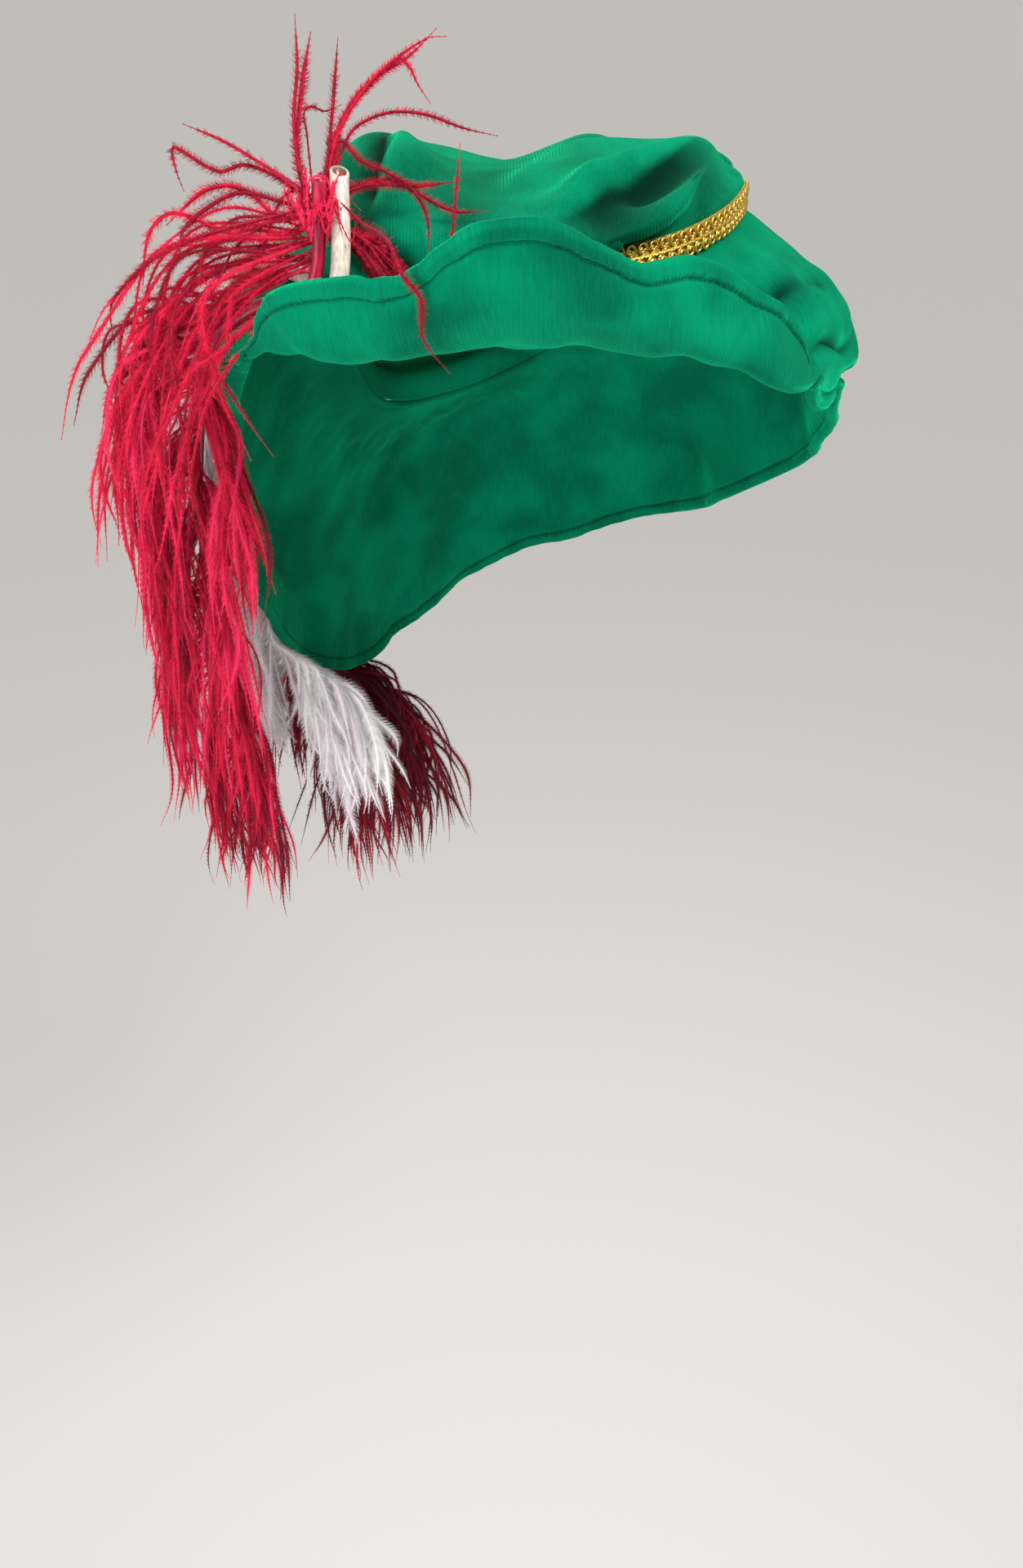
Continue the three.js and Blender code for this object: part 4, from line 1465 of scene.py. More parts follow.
    def stitch(self) -> Object:
        """Make one stitch: a short thread whose ends dip into the cloth."""
        half = self.stitch_length / 2
        radius = self.stitch_radius
        path = np.array([(-half, 0, -radius), (-half * 0.6, 0, 0), (half * 0.6, 0, 0), (half, 0, -radius)])
        points, faces = tube(path, np.array([radius * 0.5, radius, radius, radius * 0.5]), 5)
        return mesh_object("one_stitch", points, faces, bpy.data.materials[0])


@dataclass
class Crown:
    """The soft crown: one layer of velvet gathered into the seam and puffed out over the nape."""

    form: CrownForm
    finish: VelvetFinish
    wall: float = 0.0018
    steps_around: int = 420
    steps_up: int = 96
    pleat_height: float = 0.00035
    pleats_end: float = 0.45
    creases_full: float = 0.42
    closing_starts: float = 0.85
    smoothing: int = 6
    eased_at: float = 66.0
    eased_reach: float = 32.0
    eased_times: int = 30
    easing: float = 0.9

    def outer(self) -> ndarray:
        """Lay gathers and soft dents over the outer surface and return its grid."""
        angles = even_angles(self.steps_around)
        shares = np.arange(self.steps_up) / self.steps_up
        grid = self.form.surface(angles, shares)
        normals = -grid_normals(grid)
        for _ in range(self.smoothing):
            beside = np.roll(normals, 1, axis=0) + np.roll(normals, -1, axis=0)
            normals = unit(beside + 2 * normals)
        band, lip, shoulder = self.form.stations[1:4]
        gathered = smoothstep(shares, band, lip) * (1 - smoothstep(shares, shoulder, self.pleats_end))
        turn = np.radians(angles)[:, None]
        pleats = sum(row.heights(turn) for row in CROWN_PLEATS)
        lift = sum(waves.heights(grid[..., 0], grid[..., 1], shares) for waves in CROWN_WAVES)
        outer = grid + normals * (lift + pleats * self.pleat_height * gathered)[..., None]
        creases = self.form.runs(CROWN_CREASES, grid) * self.form.fold
        outer[..., 2] += creases * smoothstep(shares, shoulder, self.creases_full)
        outer = self.relaxed(outer, angles, shares)
        closing = smoothstep(shares, self.closing_starts, 1.0)[:, None]
        return outer * (1 - closing) + grid * closing

    def relaxed(self, grid: ndarray, angles: ndarray, shares: ndarray) -> ndarray:
        """Ease the cloth where the folds meet over the shoulder.

        Args:
            grid: The points of the outer surface.
            angles: Their angles, in degrees.
            shares: Their shares of the way to the middle.

        Returns:
            The eased points.
        """
        lip, crest = self.form.stations[2], self.form.stations[5]
        turned = np.exp(-(((angles - self.eased_at) / self.eased_reach) ** 2))
        near = smoothstep(shares, lip, lip + 0.05) * (1 - smoothstep(shares, crest, crest + 0.16))
        weight = self.easing * (turned[:, None] * near)[..., None]
        for _ in range(self.eased_times):
            around = (np.roll(grid, 1, axis=0) + np.roll(grid, -1, axis=0)) / 2
            across = grid.copy()
            across[:, 1:-1] = (grid[:, :-2] + grid[:, 2:]) / 2
            grid = grid + weight * ((around + across) / 2 - grid)
        return grid

    def build(self) -> Object:
        """Build the crown's closed wall."""
        outer = self.outer()
        normals = -grid_normals(outer)
        _, out, _ = self.form.head.seam(even_angles(self.steps_around))
        upright = self.steps_up // 10
        normals[:, :upright] = out[:, None]
        inner = outer - normals * self.wall
        top = self.form.surface(np.zeros(1), np.ones(1))[0, 0]
        below = top - np.array([0, 0, self.wall])
        around, rings = outer.shape[:2]
        skin = around * rings
        points = np.concatenate([
            outer.reshape(-1, 3), inner.reshape(-1, 3), top[None], below[None],
        ])
        faces = []
        for i in range(around):
            here = i * rings
            after = ((i + 1) % around) * rings
            for j in range(rings - 1):
                faces.append((here + j, after + j, after + j + 1, here + j + 1))
                faces.append((skin + here + j, skin + here + j + 1, skin + after + j + 1, skin + after + j))
            faces.append((here + rings - 1, after + rings - 1, 2 * skin))
            faces.append((skin + here + rings - 1, 2 * skin + 1, skin + after + rings - 1))
            faces.append((here, skin + here, skin + after, after))
        made = mesh_object("crown_cloth", points, faces, self.finish.material())
        # Painted shade: darkness laid into the pile along the crown's folds and recesses.
        shade = self.form.runs(CROWN_PAINTED_SHADES, points)
        set_attribute(made, "shade", shade)
        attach(made, BODY)
        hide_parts("crown")
        return made


@dataclass
class BraidBand:
    """The gimp braid on the seam: a tape, a twisted cord along its middle and two rows of scrolls."""

    head: HeadOpening
    finish: BraidFinish
    gap: float = 0.0003
    height: float = 0.011
    tape: float = 0.0006
    tape_inset: float = 0.0007
    steps: int = 512
    loop_radius: float = 0.0022
    loop_pitch: float = 0.0047
    cord_radius: float = 0.00062
    cord_sides: int = 5
    strand_share: float = 0.8
    twist_pitch: float = 0.0031
    scroll_sides: int = 4
    scroll_points: int = 15
    curl: tuple = (-0.6 * math.pi, 2.0 * math.pi)
    shrink: tuple = (1.05, 0.42)

    def frame(self) -> tuple:
        """Give the seam's places and outward directions at the steps of the tape."""
        place, out, _ = self.head.seam(even_angles(self.steps))
        return place, out

    def at(self, place: ndarray, out: ndarray, reach: float, up: float) -> ndarray:
        """Give points at a distance out from the seam and a height over it."""
        return place + out * reach + np.array([0, 0, up])

    def tape_and_cord(self) -> Object:
        """Build the tape and the two strands twisted along its middle."""
        place, out = self.frame()
        low = self.gap + self.tape_inset
        high = self.gap + self.height - self.tape_inset
        face = self.gap + self.tape
        corners = ((self.gap, low), (face, low), (face, high), (self.gap, high))
        sections = [np.stack([self.at(place, out, reach, up) for reach, up in corners], axis=1)]
        steps = np.linalg.norm(np.roll(place, -1, axis=0) - place, axis=1)
        run = np.cumsum(steps) - steps[0]
        laps = round(float(steps.sum()) / self.twist_pitch)
        turn = run / steps.sum() * laps * 2 * math.pi
        middle = self.gap + self.height / 2
        swing = self.cord_radius * self.strand_share
        for phase in (0.0, math.pi):
            reach = face + self.cord_radius + swing * (1 + np.cos(turn + phase)) * 0.5
            centre = place + out * reach[:, None]
            centre[:, 2] += middle + swing * np.sin(turn + phase)
            strand = ring(self.cord_sides, out[:, None], UPRIGHT) * self.cord_radius * self.strand_share
            sections.append(centre[:, None] + strand)
        points = np.concatenate([section.reshape(-1, 3) for section in sections])
        faces = []
        start = 0
        for section in sections:
            faces += round_faces(self.steps, section.shape[1], start)
            start += self.steps * section.shape[1]
        made = mesh_object("braid_tape", points, faces, self.finish.material())
        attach(made, BODY)
        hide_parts("braid_band")
        return made

    def loops(self, tree: NodeTree) -> Object:
        """Lay the two rows of scrolls.

        Args:
            tree: The tree that repeats a piece along a line.

        Returns:
            The scrolls.
        """
        place, out = self.frame()
        reach = self.gap + self.tape + self.cord_radius
        middle = self.gap + self.height / 2
        shift = self.loop_radius + self.cord_radius * 0.9
        upper = self.at(place, out, reach, middle + shift)
        lower = self.at(place, out, reach, middle - shift)
        guide = line_object("scroll_lines", [upper, lower], closed=True)
        set_direction(guide, "outward", np.concatenate([out, out]))
        set_attribute(guide, "turn", np.repeat([0.0, math.pi], self.steps))
        piece = self.scroll()
        made = realise("braid_scrolls", guide, tree, {
            "Piece": piece,
            "Pitch": self.loop_pitch,
            "Turn jitter": 0.16,
            "Size jitter": 0.06,
            "Seed": 8,
            "Finish": bpy.data.materials[self.finish.name],
        })
        bpy.data.objects.remove(piece)
        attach(made, BODY)
        return made

    def scroll(self) -> Object:
        """Make one scroll: a cord that curls in on itself."""
        count = self.scroll_points
        turn = np.linspace(*self.curl, count)
        shrink = np.linspace(*self.shrink, count)
        path = np.stack([
            np.cos(turn) * self.loop_radius * shrink,
            np.sin(turn) * self.loop_radius * shrink,
            np.linspace(0, self.cord_radius * 0.7, count),
        ], axis=1)
        sides = self.scroll_sides
        points = []
        for middle, tangent in zip(path, unit(np.gradient(path, axis=0))):
            aside = unit(np.cross(tangent, UPRIGHT))
            points.append(middle + ring(sides, aside, UPRIGHT) * self.cord_radius)
        faces = []
        for here in range(0, (count - 1) * sides, sides):
            for j in range(sides):
                k = (j + 1) % sides
                faces.append((here + j, here + k, here + sides + k, here + sides + j))
        faces.append(tuple(reversed(range(sides))))
        faces.append(tuple((count - 1) * sides + j for j in range(sides)))
        return mesh_object("one_scroll", np.concatenate(points), faces, bpy.data.materials[self.finish.name])


class Cut(Enum):
    """The bare end of a quill: the inset and radius of each section, in radii, and how hollow it looks."""

    ROUNDED = ((0, 0.25, 0), (0.06, 0.6, 0), (0.2, 0.85, 0), (0.45, 1.0, 0))
    HOLLOW = ((2.2, 0.55, 1), (1.0, 0.62, 1), (0.12, 0.68, 1), (0, 0.84, 0.3), (0.1, 1.0, 0), (0.5, 1.02, 0))


@dataclass(frozen=True)
class PlumeForm:
    """The route of a plume's shaft and the locks of barbs that leave it."""

    quill: float
    length: float
    stub: tuple
    rests: tuple
    hang: tuple
    locks: tuple
    press: float = 0.0006

    def shaft(self, brim: BrimForm, count: int = 240) -> ndarray:
        """Draw the shaft from its cut end to its tip, evenly spaced."""
        seated = [
            brim.over(rest, brim.wall / 2 + rest.over * self.quill + self.quill / 2 - self.press)
            for rest in self.rests
        ]
        foot = seated[0] + np.array(self.stub) * self.length
        hanging = [seated[-1] + np.array(row) * self.length for row in self.hang]
        dense = smooth_path(np.array([foot, *seated, *hanging]), 4 * count)
        run = run_along(dense)
        even = np.linspace(0, run[-1], count)
        return np.stack([np.interp(even, run, dense[:, i]) for i in range(3)], axis=1)


RED_FORM = PlumeForm(
    quill=0.0047,
    length=0.340,
    stub=(0.015, 0.01, 0.1),
    rests=(Rest(319, 0.35, 0.1), Rest(312, 0.48, 0), Rest(305, 0.68, 0)),
    hang=((-0.053, 0.09, -0.16), (-0.076, 0.15, -0.32), (-0.1, 0.21, -0.53), (-0.1, 0.235, -0.67)),
    locks=table(Lock, (
        (0.06, -0.2, -0.02, -0.16, 2.2, 0.5),
        (0.08, -0.16, -0.06, -0.28, 1.6, 0.6),
        (0.2, -0.13, 0.02, -0.12),
        (0.24, -0.12, 0, -0.2),
        (0.28, -0.1, 0.01, -0.27),
        (0.32, 0.04, -0.06, -0.24, 0.7),
        (0.36, -0.05, -0.02, -0.3),
        (0.42, -0.08, 0.02, -0.28),
        (0.46, 0.03, -0.06, -0.28),
        (0.52, -0.05, -0.01, -0.3),
        (0.58, 0.01, -0.05, -0.32),
        (0.64, -0.08, 0.02, -0.26),
        (0.7, 0.04, -0.04, -0.28),
        (0.76, -0.06, 0.01, -0.25),
        (0.82, 0.05, -0.02, -0.26),
        (0.88, -0.02, 0.01, -0.25),
        (0.94, 0.06, 0.01, -0.24),
        (0.98, 0.01, 0.02, -0.2),
    )),
)

WHITE_FORM = PlumeForm(
    quill=0.0064,
    length=0.300,
    stub=(0.008, 0.045, 0.124),
    rests=(
        Rest(324, 0.33, 0.1),
        Rest(313, 0.32, 0.15),
        Rest(303, 0.38, 0.2),
        Rest(292, 0.5, 0.15),
        Rest(278, 0.72, 0),
        Rest(264, 0.94, 0),
    ),
    hang=((0.02, 0.04, -0.1), (0.07, 0.05, -0.22)),
    locks=table(Lock, (
        (0.3, -0.03, 0.09, -0.12, 0.8, 0.9, 0.05),
        (0.32, -0.04, 0.02, -0.15, 0.8, 0.6, 0.05),
        (0.46, -0.03, 0.13, -0.15, 0.8, 1, 0.06),
        (0.46, -0.03, 0.02, -0.18, 0.8, 0.6, 0.06),
        (0.61, -0.02, 0.13, -0.18, 0.8, 1, 0.06),
        (0.61, -0.03, 0.02, -0.2, 0.8, 0.6, 0.06),
        (0.74, -0.05, 0.02, -0.22),
        (0.78, -0.04, 0.04, -0.28),
        (0.82, 0.06, 0.02, -0.24),
        (0.86, -0.06, 0.02, -0.22),
        (0.9, 0.05, 0.02, -0.24),
        (0.94, 0.1, 0.02, -0.21),
        (0.98, 0.04, 0.02, -0.2),
    )),
)

BACK_FORM = PlumeForm(
    quill=0.005,
    length=0.260,
    stub=(-0.02, -0.05, 0.1),
    rests=(Rest(268, 0.3, 0.1), Rest(258, 0.5, 0), Rest(250, 0.75, 0), Rest(244, 0.93, 0)),
    hang=((0, 0.05, -0.12), (0.01, 0.08, -0.28)),
    locks=table(Lock, (
        (0.18, -0.03, 0.1, -0.18, 0.5, 0.6, 0.05),
        (0.18, -0.03, 0, -0.22, 0.5, 0.5, 0.05),
        (0.34, -0.03, 0.12, -0.22, 0.5, 0.7, 0.06),
        (0.34, -0.03, -0.01, -0.26, 0.5, 0.5, 0.06),
        (0.5, -0.03, 0.13, -0.26, 0.5, 0.7, 0.06),
        (0.5, -0.03, -0.01, -0.3, 0.5, 0.5, 0.06),
        (0.66, -0.08, 0.05, -0.36),
        (0.7, 0.02, 0.08, -0.41),
        (0.76, 0.1, 0.06, -0.36),
        (0.8, -0.05, 0.04, -0.4),
        (0.84, 0.16, 0.06, -0.34),
        (0.88, 0.04, 0.03, -0.38),
        (0.93, 0.12, 0.03, -0.34),
        (0.98, 0, 0.02, -0.32),
    )),
)

# Long single herls of the spray, in shares of its reach: across and up along its plane.
SPRAY = (
    ((-0.05, 0.05), (-0.12, 0.35), (-0.13, 0.54), (-0.11, 0.77), (-0.12, 1.05)),
    ((-0.08, 0.1), (-0.12, 0.36), (-0.09, 0.74), (-0.05, 1.01)),
    ((-0.03, 0.1), (-0.065, 0.44), (-0.08, 0.56), (-0.04, 0.59), (0.03, 0.565), (0.12, 0.6)),
    ((0.03, 0.1), (0.08, 0.54), (0.1, 0.71), (0.12, 0.89)),
    ((0.02, 0.1), (0.08, 0.39), (0.17, 0.59), (0.32, 0.75), (0.49, 0.86), (0.64, 1.01)),
    ((0.03, 0.12), (0.1, 0.4), (0.2, 0.58), (0.34, 0.74), (0.59, 0.91), (0.7, 0.91)),
    ((0.04, 0.1), (0.17, 0.44), (0.29, 0.53), (0.43, 0.565), (0.59, 0.55), (0.79, 0.48), (0.97, 0.44)),
    ((0.03, 0.1), (0.09, 0.39), (0.18, 0.585), (0.33, 0.745),
     (0.44, 0.83), (0.5, 0.78), (0.54, 0.69), (0.61, 0.58)),
    ((0.05, 0.07), (0.12, 0.39), (0.23, 0.285), (0.38, 0.21), (0.5, 0.13), (0.59, -0.02), (0.61, -0.28)),
    ((0.03, 0.06), (0.21, 0.15), (0.38, 0.16), (0.53, 0.15), (0.73, 0.17)),
    ((0.05, 0.08), (0.38, 0.19), (0.5, 0.13), (0.68, 0.03), (0.84, -0.03), (0.94, -0.07)),
    ((-0.02, 0.06), (-0.1, 0.13), (-0.3, 0.25), (-0.5, 0.36), (-0.71, 0.44)),
    ((-0.02, 0.05), (-0.25, 0.21), (-0.41, 0.26), (-0.54, 0.22),
     (-0.78, 0.35), (-0.79, 0.32), (-0.76, 0.2), (-0.72, 0.1)),
    ((-0.02, 0), (-0.13, -0.02), (-0.24, 0), (-0.38, 0.12),
     (-0.5, 0.16), (-0.63, 0.13), (-0.75, 0.03), (-0.83, -0.05)),
    ((-0.02, 0), (-0.22, -0.02), (-0.44, -0.02), (-0.57, -0.12),
     (-0.65, -0.28), (-0.7, -0.41), (-0.66, -0.52)),
    ((-0.03, -0.05), (-0.32, -0.14), (-0.56, -0.09), (-0.68, -0.04),
     (-0.8, -0.03), (-0.9, -0.15), (-0.93, -0.46)),
    ((-0.03, -0.05), (-0.13, -0.11), (-0.38, -0.09), (-0.53, -0.155),
     (-0.63, -0.245), (-0.62, -0.37), (-0.56, -0.44)),
    ((-0.01, 0.1), (-0.16, 0.12), (-0.24, 0.01), (-0.3, -0.17),
     (-0.38, -0.31), (-0.56, -0.47), (-0.68, -0.62)),
    ((-0.02, 0), (-0.2, 0.06), (-0.42, 0.1), (-0.58, 0.02), (-0.72, -0.12), (-0.74, -0.3)),
    ((-0.02, -0.02), (-0.25, -0.04), (-0.45, -0.2), (-0.55, -0.4), (-0.72, -0.66)),
)


@dataclass
class Strands:
    """Lines that become barbs, each with a shade, a breadth and the way its flat side faces."""

    lines: list = field(default_factory=list)
    shades: list = field(default_factory=list)
    breadths: list = field(default_factory=list)
    facings: list = field(default_factory=list)

    def add(self, line: ndarray, shade: float, random: Generator, wide: float = 1.0) -> None:
        """Keep a line and its shade, and choose its breadth and the way it faces.

        Args:
            line: The points of the line.
            shade: How light it is, from 0 to 1, partly random tone and partly painted light and shade.
            random: The source of its small differences.
            wide: How broad it is, as a share of the usual.
        """
        self.lines.append(line)
        self.shades.append(shade)
        share = np.linspace(0, 1, len(line))
        swell = (0.4 + 0.6 * smoothstep(share, 0, 0.16)) * (1 - 0.8 * smoothstep(share, 0.72, 1))
        self.breadths.append(swell * wide * random.uniform(*BREADTHS))
        tangents = unit(np.gradient(line, axis=0))
        aside, mean_up, up = FACING
        front = np.array([random.normal(0, aside), -1.0, random.normal(mean_up, up)])
        self.facings.append(unit(front - (tangents @ front)[:, None] * tangents))

    def part(self, start: int, stop: int) -> "Strands":
        """Take some of the lines."""
        return Strands(
            self.lines[start:stop],
            self.shades[start:stop],
            self.breadths[start:stop],
            self.facings[start:stop],
        )

    def guide(self, name: str) -> Object:
        """Make the object of lines, with what the tree and the dye read at each point."""
        made = line_object(name, self.lines)
        shade = [np.full(len(line), value) for line, value in zip(self.lines, self.shades)]
        along = [np.linspace(0, 1, len(line)) for line in self.lines]
        reach = [run_along(line) / MILLIMETRE for line in self.lines]
        set_attribute(made, "shade", np.concatenate(shade))
        set_attribute(made, "along", np.concatenate(along))
        set_attribute(made, "reach", np.concatenate(reach))
        set_attribute(made, "breadth", np.concatenate(self.breadths))
        set_direction(made, "facing", np.concatenate(self.facings))
        return made


@dataclass
class Plume:
    """An ostrich plume: a shaft, its curtain of barbs and the tufts of barbules along each barb."""

    name: str
    node: str
    slot: str
    form: PlumeForm
    brim: BrimForm
    barb_finish: BarbFinish
    quill_finish: QuillFinish
    cloth: BVHTree
    cut: Cut = Cut.ROUNDED
    seed: int = 1
    barbs_per_lock: int = 26
    barb_points: int = 26
    tip_spread: float = 0.0065
    lock_shades: tuple = (0.15, 0.7)
    shade_spread: float = 0.26
    stretch: tuple = (0.78, 1.06)
    bow: tuple = (0.62, 0.6, 0.22)
    bow_lift: float = 0.02
    pace: tuple = (0.4, 1.3)
    swing: tuple = (0.001, 0.006)
    clear: float = 0.0034
    cloth_reach: float = 0.016
    aside_limit: float = 0.003
    clear_passes: int = 3
    quill_sides: int = 14
    tuft_pitch: float = 0.0024
    barbule: float = 0.0032
    barbule_lean: tuple = (26, 44)
    barbule_pairs: int = 9
    barbule_tilts: tuple = (-0.35, 0.35)
    barbule_range: tuple = (0.75, 1.2)
    barbule_half_width: float = 0.00015
    vane_width: float = 0.0012
    slant_rise: float = 0.8
    slant_reach: float = 0.012
    strands_per_object: int = 150

    def build(self, tree: NodeTree) -> list:
        """Build the shaft and the curtain.

        Args:
            tree: The tree that turns lines into barbs.

        Returns:
            The objects made.
        """
        shaft = self.quill_object()
        curtain = self.curtain()
        parts = [shaft]
        for number, start in enumerate(range(0, len(curtain.lines), self.strands_per_object), 1):
            part = curtain.part(start, start + self.strands_per_object)
            tuft = self.tuft(self.barbule, self.barbule_lean)
            parts.append(self.grow(f"{self.name}_barbs_{number}", part, tree, tuft))
        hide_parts(self.node)
        return parts

    def grow(self, name: str, strands: Strands, tree: NodeTree, tuft: Object) -> Object:
        """Turn strands into barbs.

        Args:
            name: The name of the object.
            strands: The lines.
            tree: The tree that turns lines into barbs.
            tuft: The tuft of barbules that is repeated along them, which is removed.

        Returns:
            The barbs.
        """
        finish = bpy.data.materials.get(self.barb_finish.name) or self.barb_finish.material()
        made = realise(name, strands.guide(name + "_lines"), tree, {
            "Tuft": tuft,
            "Tuft pitch": self.tuft_pitch,
            "Tuft size": 1.0,
            "Vane width": self.vane_width,
            "Seed": self.seed,
            "Finish": finish,
        })
        bpy.data.objects.remove(tuft)
        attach(made, BODY)
        return made

    def tuft(self, barbule: float, leans: tuple) -> Object:
        """Make one tuft: thin barbules that lean forward on both sides of the barb.

        Args:
            barbule: The usual length of a barbule.
            leans: The least and the most that a barbule leans away from the barb, in degrees.

        Returns:
            The tuft.
        """
        random = np.random.default_rng(3)
        step = self.tuft_pitch / self.barbule_pairs
        half_width = np.array([self.barbule_half_width, 0, 0])
        points = []
        faces = []
        sides = []
        for side in (-1, 1):
            for pair in range(self.barbule_pairs):
                lean = math.radians(random.uniform(*leans))
                tilt = random.uniform(*self.barbule_tilts)
                length = barbule * random.uniform(*self.barbule_range)
                direction = np.array([math.cos(lean), side * math.sin(lean), tilt * math.sin(lean)])
                root = np.array([step * (pair - self.barbule_pairs / 2), 0, 0])
                start = len(points)
                points += [root - half_width, root + half_width, root + direction * length]
                faces.append((start, start + 1, start + 2))
                sides += [side * 0.4, side * 0.4, side]
        made = mesh_object("one_tuft", np.array(points), faces, bpy.data.materials[0])
        set_attribute(made, "side", np.array(sides))
        return made

    def keep_clear(self, line: ndarray) -> ndarray:
        """Move a line out of the cloth, to its upper side, in soft bends."""
        moved = line.copy()
        for _ in range(self.clear_passes):
            push = np.zeros_like(moved)
            for i, point in enumerate(moved):
                place, normal, _, distance = self.cloth.find_nearest(Vector(point))
                if place is None or distance > self.cloth_reach:
                    continue
                normal = np.array(normal)
                side = point - np.array(place)
                height = side @ normal
                aside = np.linalg.norm(side - height * normal)
                if height < self.clear and aside < self.aside_limit:
                    push[i] = normal * (self.clear - height)
            padded = np.pad(push, ((2, 2), (0, 0)), mode="edge")
            moved += (padded[:-4] + 2 * padded[1:-3] + 3 * push + 2 * padded[3:-1] + padded[4:]) / 7
        return moved

    def curtain(self) -> Strands:
        """Grow the strands of every lock."""
        random = np.random.default_rng(self.seed)
        shaft = self.form.shaft(self.brim)
        strands = Strands()
        for lock in self.form.locks:
            count = round(self.barbs_per_lock * lock.barbs)
            # Each lock's mean shade is partly random tone and partly painted shade, with darker locks
            # standing for depth in the curtain.
            depth = random.uniform(*self.lock_shades)
            for _ in range(count):
                shade = float(np.clip(random.normal(depth, self.shade_spread), 0, 1))
                strands.add(self.strand(lock, shaft, random), shade, random)
        return strands

    def strand(self, lock: Lock, shaft: ndarray, random: Generator) -> ndarray:
        """Draw one barb of a lock.

        Args:
            lock: The lock it belongs to.
            shaft: The points of the shaft.
            random: The source of its small differences.

        Returns:
            The points of the barb, from its root to its tip.
        """
        length = self.form.length
        spread = self.tip_spread * lock.wide
        leaves = float(np.clip(lock.leaves + random.normal(0, lock.run), 0.01, 0.995))
        root = shaft[round(leaves * (len(shaft) - 1))]
        fall = np.array([lock.x, lock.y, lock.z])
        tip = root + fall * length * random.uniform(*self.stretch) + random.normal(0, spread, 3)
        bow = (fall * np.array(self.bow) + UPRIGHT * self.bow_lift) * length
        bend = root + bow + random.normal(0, spread * 0.5, 3)
        low = bend + (tip - bend) * 0.55
        low[0] += (tip[0] - root[0]) * 0.12
        line = smooth_path(np.array([root, bend, low, tip]), self.barb_points)
        share = np.linspace(0, 1, self.barb_points)
        phase = random.uniform(0, 2 * math.pi, 2)
        pace = random.uniform(*self.pace, 2)
        swing = random.uniform(*self.swing, 2)
        for i in (0, 1):
            line[:, i] += swing[i] * share * np.sin(2 * math.pi * pace[i] * share + phase[i])
        return self.keep_clear(line)

    def quill_object(self) -> Object:
        """Build the shaft: a tube from its cut end, round or hollow, to its fine tip."""
        shaft = self.form.shaft(self.brim)
        radius = self.form.quill / 2
        share = np.linspace(0, 1, len(shaft))
        radii = radius * (1 - 0.8 * smoothstep(share, 0.25, 1))
        axis = unit(shaft[1] - shaft[0])
        inset, caps, hollow = (np.array(column) for column in zip(*self.cut.value))
        head = shaft[0] + axis * radius * inset[:, None]
        path = np.concatenate([head, shaft[2:]])
        sizes = np.concatenate([caps * radius, radii[2:]])
        points, faces = tube(path, sizes, self.quill_sides)
        if self.cut is Cut.HOLLOW:
            points = self.slant(points, shaft[0], axis)
        made = mesh_object(f"{self.name}_shaft", points, faces, self.quill_finish.material())
        inside = np.concatenate([hollow, np.zeros(len(shaft) - 2)])
        ends = [hollow[0], 0]
        set_attribute(made, "hollow", np.concatenate([np.repeat(inside, self.quill_sides), ends]))
        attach(made, BODY)
        return made

    def slant(self, points: ndarray, end: ndarray, axis: ndarray) -> ndarray:
        """Cut the quill's end at a slant, lower at the front.

        Args:
            points: The points of the quill.
            end: The middle of its cut end.
            axis: The direction from that end along the quill.

        Returns:
            The moved points.
        """
        toward = np.array([0.25, -1.0, 0])
        front = unit(toward - axis * (toward @ axis))
        inward = (points - end) @ axis
        lower = self.form.quill / 2 + (points - end) @ front
        near = np.linalg.norm(points - end, axis=1) < self.slant_reach
        fading = np.clip(1 - inward / self.slant_reach, 0, 1) * near
        return points + axis * (self.slant_rise * lower * fading)[:, None]


